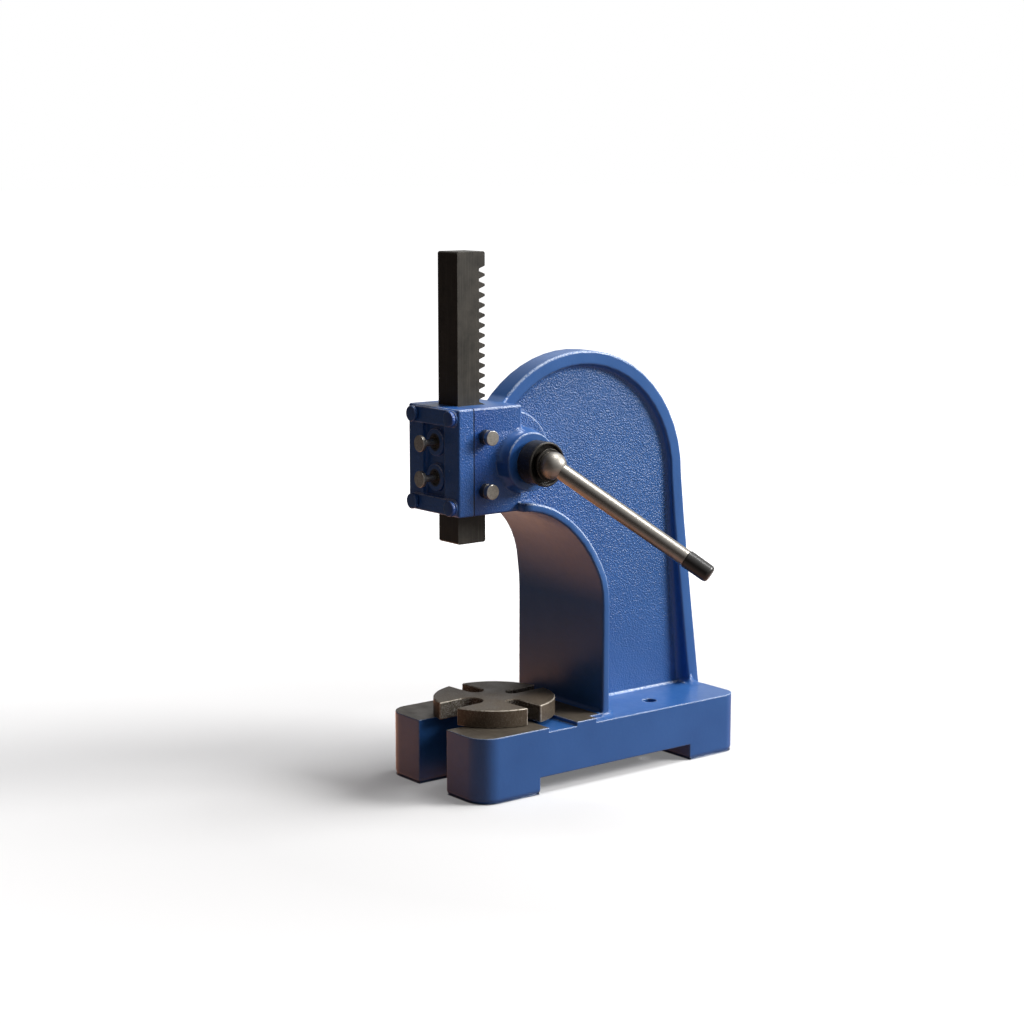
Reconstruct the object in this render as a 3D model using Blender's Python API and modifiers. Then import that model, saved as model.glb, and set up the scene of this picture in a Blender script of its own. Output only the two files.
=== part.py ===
"""Bench arbor press: cast C-frame, square rack ram, pinion with lever, turning anvil.

The model is in metres with +Z up. The press frame has the ram axis at x = y = 0 and the bench
at z = 0. The front is -Y and the lever is on the +X side. One empty shifts the whole press so
that the world origin is the middle of its footprint box, on the bench.
"""
import math

import bmesh
import bpy
from mathutils import Matrix, Vector

# Clearances that the pieces keep to each other
rest_gap = 0.0003
slide_gap = 0.0003
turn_gap = 0.0003
overrun = 0.004
weld_distance = 0.00001
facet_angle = math.radians(35)
coplanar_angle = math.radians(0.05)
flat_angle = math.radians(0.1)

# Base of the casting
base_width = 0.128
base_length = 0.275
base_front_y = -0.0294
cast_top_z = 0.0496
machined_rise = 0.0034
front_corner_radius = 0.018
rear_corner_radius = 0.014
base_edge_round = 0.0014
front_slot_width = 0.0374
front_slot_end_past_ram = 0.0187
front_pad_end_y = 0.0385
strip_start_y = 0.0672
strip_end_y = 0.0878
front_foot_length = 0.0589
rear_foot_length = 0.055
relief_height = 0.0134
bench_hole_diameter = 0.012
bench_hole_x = 0.0372
bench_hole_y = 0.1685

# Head of the casting, with the channel that the ram slides in
head_width = 0.0664
head_depth = 0.0471
head_bottom_z = 0.2238
head_height = 0.0842
head_edge_round = 0.0016
split_inset = 0.0005
channel_rear_gap = 0.00035

# Ram and its rack
ram_width = 0.0254
ram_depth = 0.027
ram_length = 0.229
ram_bottom_z = 0.1985
ram_lift = 0.025
ram_end_chamfer = 0.0012
rack_end_land = 0.002
tooth_module = 0.0025
pressure_angle = math.radians(20)
dedendum_share = 1.25
rack_backlash = 0.0003

# Pinion, its shaft and bushes
pinion_teeth = 19
pinion_backlash = 0.0003
pinion_width = 0.025
pinion_height_in_head = 0.0402
pinion_tip_gap = 0.00075
pinion_side_gap = 0.0005
shaft_diameter = 0.020
shaft_left_reach = 0.059
shaft_right_reach = 0.0555
shaft_chamfer = 0.001
key_width = 0.006
key_height = 0.006
key_length = 0.018
bush_outer_diameter = 0.028
bush_side_gap = 0.0007

# Pinion housing: round pad on the web and a boss on each side of the head
housing_radius = 0.038
housing_half_width = 0.020
housing_edge_round = 0.0015
housing_root_fillet = 0.006
boss_length = 0.0118
boss_root_radius = 0.0265
boss_face_radius = 0.0234
boss_edge_round = 0.0011

# Column: throat flange, web and rim
throat_face_y = 0.1015
arch_start_z = 0.142
flange_lap_in_head = 0.0038
flange_foot_half_width = 0.0555
flange_head_half_width = 0.041
flange_taper_end_z = 0.160
flange_thickness = 0.007
flange_edge_round = 0.0016
web_thickness = 0.0104
web_fillet = 0.005
rim_top_z = 0.3446
rim_crest_y = 0.115
rim_front_radius = 0.110
rim_rear_radius = 0.111
rim_foot_inset = 0.0016
rim_width = 0.0224
rim_foot_width = 0.0352
rim_depth = 0.0115
rim_edge_round = 0.0018
rim_lap_in_head = 0.004
rim_flare_power = 1.15
foot_fillet = 0.0045
rim_foot_fillet = 0.0095

# Face plate with two raised bars and a pocket that holds the screw bosses
plate_thickness = 0.0145
plate_edge_round = 0.0015
bar_rise = 0.0020
bar_width = 0.0128
bar_edge_margin = 0.0009
bar_middle_x = 0.0016
bar_screw_spacing = 0.0492
bar_edge_round = 0.0007
pocket_width = 0.029
pocket_height = 0.0575
pocket_depth = 0.0042
pocket_edge_round = 0.0015
screw_boss_diameter = 0.022
screw_boss_rise = 0.0030
screw_boss_bore_diameter = 0.0112
screw_boss_bore_depth = 0.0035
screw_boss_edge_round = 0.0008

# Screws that hold the plate
plate_screw_head_diameter = 0.0124
plate_screw_head_height = 0.0033
plate_screw_diameter = 0.0074
plate_screw_depth_in_head = 0.013
plate_screw_edge_round = 0.0007

# Gib strips that take up the ram's play, and the screws that press them
gib_thickness = 0.0049
front_gib_width = 0.022
front_gib_height = 0.068
side_gib_width = 0.018
side_gib_height = 0.068
gib_screw_spacing = 0.028
side_screw_spacing = 0.0421
side_screw_y = -0.0019
gib_screw_diameter = 0.0056
gib_screw_neck_diameter = 0.0044
front_knob_diameter = 0.0130
front_knob_thickness = 0.0030
front_knob_reach = 0.0140
front_neck_length = 0.0050
front_nut_across_flats = 0.0090
front_nut_height = 0.0030
side_knob_diameter = 0.0118
side_knob_thickness = 0.0046
side_knob_reach = 0.0106
side_nut_diameter = 0.0118
side_nut_height = 0.0054
knob_edge_round = 0.0006

# Collar, ball and lever on the right, and the retaining collar on the left
collar_diameter = 0.0354
collar_length = 0.0192
collar_neck_diameter = 0.026
collar_neck_length = 0.0032
collar_edge_round = 0.0012
collar_recess_diameter = 0.0306
collar_recess_depth = 0.0042
retaining_collar_diameter = 0.034
retaining_collar_length = 0.012
set_screw_diameter = 0.0046
set_screw_sunk = 0.0012
ball_radius = 0.0108
ball_from_collar_face = 0.0068
ball_flange_diameter = 0.0254
ball_flange_thickness = 0.0020
ball_flange_lift = 0.0008
ball_stub_gap = 0.0005
lever_reach = 0.1484
lever_lean_angle = math.radians(45)
lever_drop_angle = math.radians(48.6)
lever_root_diameter = 0.0136
lever_end_diameter = 0.0132
lever_seat_from_ball_centre = 0.0060
lever_spigot_diameter = 0.008
lever_spigot_length = 0.014
lever_spigot_chamfer = 0.0008
cap_length = 0.0226
cap_diameter = 0.0144
cap_end_diameter = 0.0140
cap_end_round = 0.0030

# Anvil plate and the pin that it turns on
anvil_diameter = 0.099
anvil_thickness = 0.0142
anvil_axis_y = 0.0325
anvil_edge_round = 0.0007
anvil_rest_turn = math.radians(3.2)
anvil_slot_widths = (0.021, 0.013, 0.0105, 0.0135)
anvil_slot_end_radii = (0.0153, 0.0183, 0.0140, 0.0170)
pin_diameter = 0.012
pin_depth_in_base = 0.024
pin_depth_in_anvil = 0.008
pin_chamfer = 0.001

# Facets of the round shapes
fine_steps = 56
round_steps = 40
small_steps = 20
slot_end_steps = 10
bar_end_steps = 12
corner_steps = 5
fillet_steps = 3
arch_steps = 12
front_arc_steps = 8
rear_arc_steps = 12
flare_steps = 5
ball_steps = 10
flank_steps = 3
section_round_steps = 2

# Derived places in the press frame
base_rear_y = base_front_y + base_length
pad_top_z = cast_top_z + machined_rise
ram_front_y = -ram_width / 2
ram_back_y = ram_front_y + ram_depth
head_front_y = ram_front_y + split_inset
head_back_y = head_front_y + head_depth
head_top_z = head_bottom_z + head_height
head_middle_z = head_bottom_z + head_height / 2
head_side_x = head_width / 2
plate_back_y = head_front_y - rest_gap
plate_front_y = plate_back_y - plate_thickness
bar_front_y = plate_front_y - bar_rise
pocket_floor_y = plate_front_y + pocket_depth
screw_boss_front_y = pocket_floor_y - screw_boss_rise
pitch_radius = tooth_module * pinion_teeth / 2
tip_radius = pitch_radius + tooth_module
root_radius = pitch_radius - tooth_module * dedendum_share
tooth_pitch = math.pi * tooth_module
pitch_line_y = ram_back_y - tooth_module
pinion_y = pitch_line_y + pitch_radius
pinion_z = head_bottom_z + pinion_height_in_head
cavity_radius = tip_radius + pinion_tip_gap
cavity_half_width = pinion_width / 2 + pinion_side_gap
boss_face_x = head_side_x + boss_length
shaft_radius = shaft_diameter / 2
shaft_bore_radius = shaft_radius + turn_gap
bush_bore_radius = bush_outer_diameter / 2 + rest_gap
collar_start_x = boss_face_x + turn_gap
collar_end_x = collar_start_x + collar_length
ball_x = collar_end_x + ball_from_collar_face
slide_half = ram_width / 2 + slide_gap
rim_rear_y = rim_crest_y + rim_rear_radius
rim_foot_y = base_rear_y - rim_foot_inset
web_half = web_thickness / 2
anvil_bottom_z = pad_top_z + rest_gap
bar_radius = bar_width / 2
bar_left_x = bar_middle_x - bar_screw_spacing / 2
bar_right_x = bar_middle_x + bar_screw_spacing / 2
bar_upper_z = head_top_z - bar_edge_margin - bar_radius
bar_lower_z = head_bottom_z + bar_edge_margin + bar_radius
gib_screw_upper_z = head_middle_z + gib_screw_spacing / 2
gib_screw_lower_z = head_middle_z - gib_screw_spacing / 2
side_screw_middle_z = pinion_z + rest_gap
front_gib_back_y = ram_front_y - slide_gap
front_gib_front_y = front_gib_back_y - gib_thickness
side_gib_inner_x = slide_half
side_gib_outer_x = side_gib_inner_x + gib_thickness
hole_radius = gib_screw_diameter / 2 + rest_gap

press_collection = None
cutter_collection = None
press_origin = None


def clear_scene():
    for item in list(bpy.data.objects):
        bpy.data.objects.remove(item, do_unlink=True)


def make_collection(name):
    collection = bpy.data.collections.new(name)
    bpy.context.scene.collection.children.link(collection)
    return collection


def cap_end():
    """Rounded end of the lever's cap as (radius, distance from the ball's middle) points."""
    end_radius = cap_end_diameter / 2
    edge = cap_end_round
    return arc((end_radius - edge, lever_reach - edge), edge, 90, 0, fillet_steps)


def footprint_middle():
    """Middle of the press's own box in plan: the base on the left, the lever's cap on the right."""
    out = math.sin(lever_lean_angle)
    across = math.cos(lever_lean_angle)
    right = ball_x + max(reach * out + radius * across for radius, reach in cap_end())
    left = -base_width / 2
    front = min(plate_front_y - front_knob_reach, base_front_y)
    return (left + right) / 2, (front + base_rear_y) / 2


def make_empty(name, place, parent=None):
    empty = bpy.data.objects.new(name, None)
    press_collection.objects.link(empty)
    empty.location = place
    empty.parent = parent
    return empty


def finish_mesh(mesh):
    mesh.shade_smooth()
    mesh.set_sharp_from_angle(angle=facet_angle)
    return mesh


def as_part(item, material, parent=None, place=(0, 0, 0), turn=(0, 0, 0)):
    """Make an object one of the press's named parts, at its place under its parent."""
    for collection in list(item.users_collection):
        collection.objects.unlink(item)
    press_collection.objects.link(item)
    item.parent = parent or press_origin
    item.location = place
    item.rotation_euler = turn
    item.data.materials.clear()
    item.data.materials.append(material)
    return item


def as_cutter(item, place=(0, 0, 0), turn=(0, 0, 0)):
    """Make an object a hidden shape that other objects are cut or joined with."""
    item.parent = press_origin
    item.location = place
    item.rotation_euler = turn
    item.hide_render = True
    item.display_type = "WIRE"
    return item


def mesh_object(name, mesh):
    item = bpy.data.objects.new(name, finish_mesh(mesh))
    cutter_collection.objects.link(item)
    return item


def split_bent_faces(shape):
    """Split every face that isn't flat, so that booleans meet flat faces only."""
    bmesh.ops.connect_verts_nonplanar(shape, angle_limit=flat_angle, faces=shape.faces)


def from_bmesh(name, shape):
    split_bent_faces(shape)
    mesh = bpy.data.meshes.new(name)
    shape.to_mesh(mesh)
    shape.free()
    return mesh_object(name, mesh)


def combine(target, tool, operation):
    modifier = target.modifiers.new(operation.lower() + " " + tool.name, "BOOLEAN")
    modifier.operation = operation
    modifier.object = tool
    modifier.solver = "EXACT"


def join_with(target, *tools):
    for tool in tools:
        combine(target, tool, "UNION")


def cut_with(target, *tools):
    for tool in tools:
        combine(target, tool, "DIFFERENCE")


def round_edges(item, width, segments=2, angle=facet_angle):
    modifier = item.modifiers.new("rounded edges", "BEVEL")
    modifier.width = width
    modifier.segments = segments
    modifier.limit_method = "ANGLE"
    modifier.angle_limit = angle
    modifier.harden_normals = False


def box(name, low, high, edge_round=0, sharp_side=None):
    """A box between two corners. Its edges are rounded, but not those of the sharp side."""
    shape = bmesh.new()
    size = Vector(high) - Vector(low)
    middle = (Vector(high) + Vector(low)) / 2
    place = Matrix.Translation(middle) @ Matrix.Diagonal((*size, 1))
    bmesh.ops.create_cube(shape, size=1, matrix=place)
    if edge_round:
        edges = [edge for edge in shape.edges if not on_side(edge, sharp_side, middle)]
        bmesh.ops.bevel(
            shape, geom=edges, offset=edge_round, segments=2, profile=0.5, affect="EDGES", material=-1
        )
    return from_bmesh(name, shape)


def on_side(edge, side, middle):
    """Whether both ends of an edge lie on the side of a box that a unit vector points to."""
    if side is None:
        return False
    return all((corner.co - middle).dot(Vector(side)) > weld_distance for corner in edge.verts)


def turned(name, profile, steps=round_steps):
    """A solid turned about local Z from (radius, height) points, top first, down the outer side."""
    mesh = bpy.data.meshes.new(name)
    closed = profile[0][0] > 0
    points = [(radius, 0, height) for radius, height in profile]
    edges = [(index, index + 1) for index in range(len(points) - 1)]
    if closed:
        edges.append((len(points) - 1, 0))
    mesh.from_pydata(points, edges, [])
    item = bpy.data.objects.new(name, mesh)
    cutter_collection.objects.link(item)
    screw = item.modifiers.new("turned profile", "SCREW")
    screw.axis = "Z"
    screw.angle = 2 * math.pi
    screw.steps = steps
    screw.render_steps = steps
    screw.use_merge_vertices = True
    screw.merge_threshold = weld_distance
    screw.use_smooth_shade = True
    return frozen(item)


def rod(name, radius, bottom, top, steps=small_steps):
    return turned(name, [(0, top), (radius, top), (radius, bottom), (0, bottom)], steps)


def frozen(item, split_faces=False):
    """The object's evaluated shape as a plain mesh object with the same place."""
    bpy.context.view_layer.update()
    graph = bpy.context.evaluated_depsgraph_get()
    mesh = bpy.data.meshes.new_from_object(item.evaluated_get(graph))
    shape = bmesh.new()
    shape.from_mesh(mesh)
    bmesh.ops.remove_doubles(shape, verts=shape.verts, dist=weld_distance)
    bmesh.ops.dissolve_limit(
        shape, angle_limit=coplanar_angle, use_dissolve_boundaries=False, verts=shape.verts, edges=shape.edges
    )
    if split_faces:
        split_bent_faces(shape)
    shape.to_mesh(mesh)
    shape.free()
    name = item.name
    matrix = item.matrix_world.copy()
    old = item.data
    bpy.data.objects.remove(item)
    if isinstance(old, bpy.types.Curve):
        bpy.data.curves.remove(old)
    plain = mesh_object(name, mesh)
    plain.name = name
    plain.matrix_world = matrix
    return plain


def plate_from_outline(name, outlines, low, high):
    """A flat plate in local XY from closed outlines, between two heights."""
    curve = bpy.data.curves.new(name, "CURVE")
    curve.dimensions = "2D"
    curve.fill_mode = "BOTH"
    curve.extrude = (high - low) / 2
    for outline in outlines:
        spline = curve.splines.new("POLY")
        spline.points.add(len(outline) - 1)
        for point, (x, y) in zip(spline.points, outline):
            point.co = (x, y, 0, 1)
        spline.use_cyclic_u = True
    item = bpy.data.objects.new(name, curve)
    cutter_collection.objects.link(item)
    plain = frozen(item)
    plain.data.transform(Matrix.Translation((0, 0, (low + high) / 2)))
    return plain


side_view = (math.pi / 2, 0, math.pi / 2)
along_x = (0, math.pi / 2, 0)
along_front = (math.pi / 2, 0, 0)


def arc(middle, radius, start, end, steps):
    """Points of a round arc in a plane, from one angle in degrees to another."""
    points = []
    for step in range(steps + 1):
        angle = math.radians(start + (end - start) * step / steps)
        points.append((middle[0] + radius * math.cos(angle), middle[1] + radius * math.sin(angle)))
    return points


def stadium(start, end, radius, steps=small_steps):
    """Outline of a slot with round ends between two centres."""
    direction = math.degrees(math.atan2(end[1] - start[1], end[0] - start[0]))
    far = arc(end, radius, direction - 90, direction + 90, steps)
    near = arc(start, radius, direction + 90, direction + 270, steps)
    return far + near


def circle(middle, radius, steps=round_steps):
    return arc(middle, radius, 0, 360, steps)[:-1]


def loft(name, rings):
    """A closed solid through rings of equally many points, with a flat cap on each end."""
    shape = bmesh.new()
    rows = [[shape.verts.new(point) for point in ring] for ring in rings]
    count = len(rings[0])
    for lower, upper in zip(rows, rows[1:]):
        for index in range(count):
            following = (index + 1) % count
            shape.faces.new((lower[index], lower[following], upper[following], upper[index]))
    shape.faces.new(rows[0][::-1])
    shape.faces.new(rows[-1])
    bmesh.ops.recalc_face_normals(shape, faces=shape.faces)
    return from_bmesh(name, shape)


def paint(name, colour, roughness, metallic=0.0):
    material = bpy.data.materials.new(name)
    material.use_nodes = True
    shader = material.node_tree.nodes["Principled BSDF"]
    shader.inputs["Base Color"].default_value = (*colour, 1)
    shader.inputs["Roughness"].default_value = roughness
    shader.inputs["Metallic"].default_value = metallic
    material.diffuse_color = (*colour, 1)
    return material


def base_outline():
    """Plan of the base, with larger corners in front."""
    side = base_width / 2
    front = front_corner_radius
    rear = rear_corner_radius
    outline = arc((side - front, base_front_y + front), front, -90, 0, corner_steps)
    outline += arc((side - rear, base_rear_y - rear), rear, 0, 90, corner_steps)
    outline += arc((rear - side, base_rear_y - rear), rear, 90, 180, corner_steps)
    outline += arc((front - side, base_front_y + front), front, 180, 270, corner_steps)
    return outline


def base_cutters():
    """The lower painted stretches of the top, the front slot and the gap between the feet."""
    side = base_width / 2 + overrun
    top = pad_top_z + overrun
    behind_flange = throat_face_y + flange_thickness / 2
    step = box("top step", (-side, front_pad_end_y, cast_top_z), (side, strip_start_y, top))
    rear = box("rear top", (-side, behind_flange, cast_top_z), (side, base_rear_y + overrun, top))
    cutters = [step, rear]
    for sign in (-1, 1):
        near, far = sorted((sign * flange_foot_half_width, sign * side))
        cutters.append(
            box("strip end", (near, strip_end_y, cast_top_z), (far, behind_flange + overrun, top))
        )
    slot_radius = front_slot_width / 2
    slot_middle = (0, front_slot_end_past_ram - slot_radius)
    slot_start = (0, base_front_y - slot_radius - overrun)
    cutters.append(
        plate_from_outline(
            "front slot", [stadium(slot_start, slot_middle, slot_radius, slot_end_steps)], -overrun, top
        )
    )
    foot_end = base_front_y + front_foot_length
    rear_foot_start = base_rear_y - rear_foot_length
    cutters.append(
        box("gap between feet", (-side, foot_end, -overrun), (side, rear_foot_start, relief_height))
    )
    return [as_cutter(item) for item in cutters]


def throat_stations():
    """Points on the throat face from the base up to the head, with the direction into the metal."""
    stations = [((throat_face_y, cast_top_z - overrun), (1, 0))]
    middle_y = head_back_y - flange_lap_in_head
    reach = throat_face_y - middle_y
    rise = head_bottom_z - arch_start_z
    for step in range(arch_steps + 1):
        angle = math.pi / 2 * step / arch_steps
        point = (middle_y + reach * math.cos(angle), arch_start_z + rise * math.sin(angle))
        inward = Vector((rise * math.cos(angle), reach * math.sin(angle))).normalized()
        stations.append((point, tuple(inward)))
    return stations


def rim_stations():
    """Points on the rim's outer face from the head over the arch to the foot, with the inward direction."""
    front_middle = (rim_crest_y, rim_top_z - rim_front_radius)
    start = 180 - math.degrees(
        math.asin((head_top_z - rim_lap_in_head - front_middle[1]) / rim_front_radius)
    )
    points = arc(front_middle, rim_front_radius, start, 90, front_arc_steps)
    rear_middle = (rim_crest_y, rim_top_z - rim_rear_radius)
    points += arc(rear_middle, rim_rear_radius, 90, 0, rear_arc_steps)[1:]
    foot_z = cast_top_z - overrun
    for step in range(1, flare_steps + 1):
        fall_share = step / flare_steps
        flare = (rim_foot_y - rim_rear_y) * fall_share**rim_flare_power
        points.append((rim_rear_y + flare, rear_middle[1] + (foot_z - rear_middle[1]) * fall_share))
    stations = []
    for index, point in enumerate(points):
        before = Vector(points[max(index - 1, 0)])
        after = Vector(points[min(index + 1, len(points) - 1)])
        along = (after - before).normalized()
        stations.append((point, (along.y, -along.x)))
    return stations


def tee_section(half_width, thickness, edge_round, fillet):
    """Half outline (x, depth) of a band with rounded edges whose back fillets into the web."""
    outer = arc((half_width - edge_round, edge_round), edge_round, -90, 0, section_round_steps)
    inner = arc((half_width - edge_round, thickness - edge_round), edge_round, 0, 90, section_round_steps)
    foot = arc((web_half + fillet, thickness + fillet), fillet, -90, -180, fillet_steps)
    tip = (web_half - rest_gap, thickness + fillet)
    half = outer + inner + foot + [tip]
    return half + [(-x, depth) for x, depth in reversed(half)]


def band(name, stations, width_at, thickness, edge_round, fillet):
    """A band swept along the casting's side outline, wider or narrower from place to place."""
    rings = []
    for (y, z), (into_y, into_z) in stations:
        section = tee_section(width_at(z), thickness, edge_round, fillet)
        rings.append([(x, y + depth * into_y, z + depth * into_z) for x, depth in section])
    return as_cutter(loft(name, rings))


def flange_half_width(z):
    share = (head_bottom_z - z) / (head_bottom_z - flange_taper_end_z)
    share = min(max(share, 0), 1)
    return flange_head_half_width + (flange_foot_half_width - flange_head_half_width) * share


def rim_half_width(z):
    """Half width of the rim, even round the arch and growing down to the foot."""
    arch_end_z = rim_top_z - rim_rear_radius
    share = min(max((arch_end_z - z) / (arch_end_z - cast_top_z), 0), 1)
    return (rim_width + (rim_foot_width - rim_width) * share) / 2


def web_plate():
    outline = []
    for (y, z), (into_y, into_z) in throat_stations():
        depth = flange_thickness / 2
        outline.append((y + depth * into_y, z + depth * into_z))
    for (y, z), (into_y, into_z) in rim_stations():
        depth = rim_depth / 2
        outline.append((y + depth * into_y, z + depth * into_z))
    return as_cutter(plate_from_outline("web", [outline], -web_half, web_half), turn=side_view)


def foot_skirt(name, low_x, high_x, low_y, high_y, floor_z, fillet=foot_fillet):
    """A concave fillet all round an upright wall where it meets the top of the base."""
    rings = []
    heights = [(fillet, -overrun)]
    for step in range(fillet_steps + 1):
        angle = math.pi / 2 * step / fillet_steps
        heights.append((fillet * (1 - math.sin(angle)), fillet * (1 - math.cos(angle))))
    for spread, rise in heights:
        wide = spread - rest_gap
        rings.append(
            [
                (low_x - wide, low_y - wide, floor_z + rise),
                (high_x + wide, low_y - wide, floor_z + rise),
                (high_x + wide, high_y + wide, floor_z + rise),
                (low_x - wide, high_y + wide, floor_z + rise),
            ]
        )
    return as_cutter(loft(name, rings))


def foot_skirts():
    flange_back_y = throat_face_y + flange_thickness
    front_half = flange_foot_half_width - foot_fillet
    flange_half = flange_foot_half_width
    rim_half = rim_foot_width / 2
    rim_front_y = rim_foot_y - rim_depth
    return [
        foot_skirt("flange front fillet", -front_half, front_half, throat_face_y, flange_back_y, pad_top_z),
        foot_skirt("flange rear fillet", -flange_half, flange_half, throat_face_y, flange_back_y, cast_top_z),
        foot_skirt("web foot fillet", -web_half, web_half, flange_back_y, rim_front_y, cast_top_z),
        foot_skirt(
            "rim foot fillet", -rim_half, rim_half, rim_front_y, rim_foot_y - rim_foot_fillet,
            cast_top_z, rim_foot_fillet,
        ),
    ]


def head_block():
    """The head's block, its front cut flat where the face plate sits."""
    low = (-head_side_x, head_front_y - overrun, head_bottom_z)
    block = box("head block", low, (head_side_x, head_back_y, head_top_z), head_edge_round)
    front = box(
        "head front cut",
        (-head_side_x - overrun, head_front_y - 2 * overrun, head_bottom_z - overrun),
        (head_side_x + overrun, head_front_y, head_top_z + overrun),
    )
    cut_with(block, as_cutter(front))
    return as_cutter(block)


def mirrored_profile(half):
    """A profile from its top to its middle, followed by the same below the middle."""
    return half + [(radius, -height) for radius, height in reversed(half)]


def pinion_housing():
    """The round pad on both sides of the web that holds the pinion's cavity."""
    top = housing_half_width
    edge = housing_edge_round
    half = [(0, top)]
    half += arc((housing_radius - edge, top - edge), edge, 90, 0, section_round_steps)
    middle = (housing_radius + housing_root_fillet, web_half + housing_root_fillet)
    half += arc(middle, housing_root_fillet, 180, 270, fillet_steps)
    half.append((housing_radius + housing_root_fillet, web_half - rest_gap))
    housing = turned("pinion housing", mirrored_profile(half), fine_steps)
    below = box(
        "housing cut",
        (-housing_radius, pinion_y - 2 * housing_radius, pinion_z - 2 * housing_radius),
        (housing_radius, pinion_y + 2 * housing_radius, head_bottom_z + flange_thickness / 2),
    )
    cut_with(housing, as_cutter(below))
    return as_cutter(housing, (0, pinion_y, pinion_z), along_x)


def pinion_bosses():
    """The tapered bosses that stand on both sides of the head round the shaft."""
    edge = boss_edge_round
    fillet = housing_edge_round
    half = [(0, boss_face_x)]
    half += arc((boss_face_radius - edge, boss_face_x - edge), edge, 90, 0, section_round_steps)
    half.append((boss_root_radius, head_side_x - fillet))
    middle = (boss_root_radius + fillet, housing_half_width + fillet)
    half += arc(middle, fillet, 180, 270, fillet_steps)
    half.append((boss_root_radius + fillet, housing_half_width - rest_gap))
    bosses = turned("pinion bosses", mirrored_profile(half), round_steps)
    return as_cutter(bosses, (0, pinion_y, pinion_z), along_x)


def channel_cutters():
    """The ram's channel, open to the front, and the side gib's pocket beside it."""
    channel = box(
        "ram channel",
        (-slide_half, head_front_y - overrun, head_bottom_z - overrun),
        (slide_half, ram_back_y + channel_rear_gap, head_top_z + overrun),
    )
    reach = side_gib_width / 2 + rest_gap
    rise = side_gib_height / 2 + rest_gap
    pocket = box(
        "side gib pocket",
        (0, side_screw_y - reach, side_screw_middle_z - rise),
        (side_gib_outer_x + rest_gap, side_screw_y + reach, side_screw_middle_z + rise),
    )
    return [as_cutter(channel), as_cutter(pocket)]


def pinion_cutters():
    """The cavity that the pinion turns in and the bore that holds both bushes."""
    cavity = rod("pinion cavity", cavity_radius, -cavity_half_width, cavity_half_width, fine_steps)
    bore = rod("bush bore", bush_bore_radius, -boss_face_x - overrun, boss_face_x + overrun, round_steps)
    place = (0, pinion_y, pinion_z)
    return [as_cutter(cavity, place, along_x), as_cutter(bore, place, along_x)]


def side_screw_heights():
    upper = side_screw_middle_z + side_screw_spacing / 2
    return {"upper": upper, "lower": upper - side_screw_spacing}


def front_screw_heights():
    return {"upper": gib_screw_upper_z, "lower": gib_screw_lower_z}


def plate_screw_places():
    places = {}
    for level, z in (("upper", bar_upper_z), ("lower", bar_lower_z)):
        places[level + "_left"] = (bar_left_x, z)
        places[level + "_right"] = (bar_right_x, z)
    return places


def side_screw_holes():
    holes = []
    for level, z in side_screw_heights().items():
        hole = rod("side screw hole " + level, hole_radius, 0, head_side_x + overrun)
        holes.append(as_cutter(hole, (0, side_screw_y, z), along_x))
    return holes


def plate_screw_holes(front, back, label):
    """Holes for the four plate screws between two depths in y."""
    holes = []
    radius = plate_screw_diameter / 2 + rest_gap
    for corner, (x, z) in plate_screw_places().items():
        hole = rod(label + " " + corner, radius, -back, -front)
        holes.append(as_cutter(hole, (x, 0, z), along_front))
    return holes


def base_holes():
    """Two bench bolt holes behind the column's flange and the hole for the anvil's pin."""
    holes = []
    for side in (-1, 1):
        hole = rod("bench hole", bench_hole_diameter / 2, 0, pad_top_z)
        holes.append(as_cutter(hole, (side * bench_hole_x, bench_hole_y, 0)))
    depth = pin_depth_in_base + rest_gap
    hole = rod("pin hole", pin_diameter / 2 + rest_gap, pad_top_z - depth, pad_top_z + overrun)
    holes.append(as_cutter(hole, (0, anvil_axis_y, 0)))
    return holes


def make_frame_casting(material):
    casting = as_cutter(plate_from_outline("frame_casting", [base_outline()], 0, pad_top_z))
    cut_with(casting, *base_cutters())
    round_edges(casting, base_edge_round)
    casting = frozen(casting, split_faces=True)
    join_with(
        casting,
        band(
            "throat flange", throat_stations(), flange_half_width,
            flange_thickness, flange_edge_round, web_fillet,
        ),
        band("rim", rim_stations(), rim_half_width, rim_depth, rim_edge_round, web_fillet),
        web_plate(),
        head_block(),
        pinion_housing(),
        pinion_bosses(),
        *foot_skirts(),
    )
    cut_with(casting, *channel_cutters(), *pinion_cutters(), *side_screw_holes(), *base_holes())
    screw_end = head_front_y + plate_screw_depth_in_head + rest_gap
    cut_with(casting, *plate_screw_holes(head_front_y - overrun, screw_end, "head screw hole"))
    return as_part(casting, material)


def plate_bars():
    """The raised bars across the top and bottom of the face plate, on which the screws sit."""
    bars = []
    for z in (bar_upper_z, bar_lower_z):
        outline = stadium((bar_left_x, z), (bar_right_x, z), bar_radius, bar_end_steps)
        bar = plate_from_outline("plate bar", [outline], -pocket_floor_y - overrun, -bar_front_y)
        round_edges(bar, bar_edge_round)
        bars.append(as_cutter(frozen(bar, split_faces=True), turn=along_front))
    return bars


def plate_screw_bosses():
    bosses = []
    radius = screw_boss_diameter / 2
    edge = screw_boss_edge_round
    for level, z in front_screw_heights().items():
        top = -screw_boss_front_y
        bottom = -pocket_floor_y - screw_boss_rise / 2
        rounding = arc((radius - edge, top - edge), edge, 90, 0, section_round_steps)
        profile = [(0, top)] + rounding + [(radius, bottom), (0, bottom)]
        boss = turned("screw boss " + level, profile, round_steps)
        bosses.append(as_cutter(boss, (0, 0, z), along_front))
    return bosses


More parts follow.
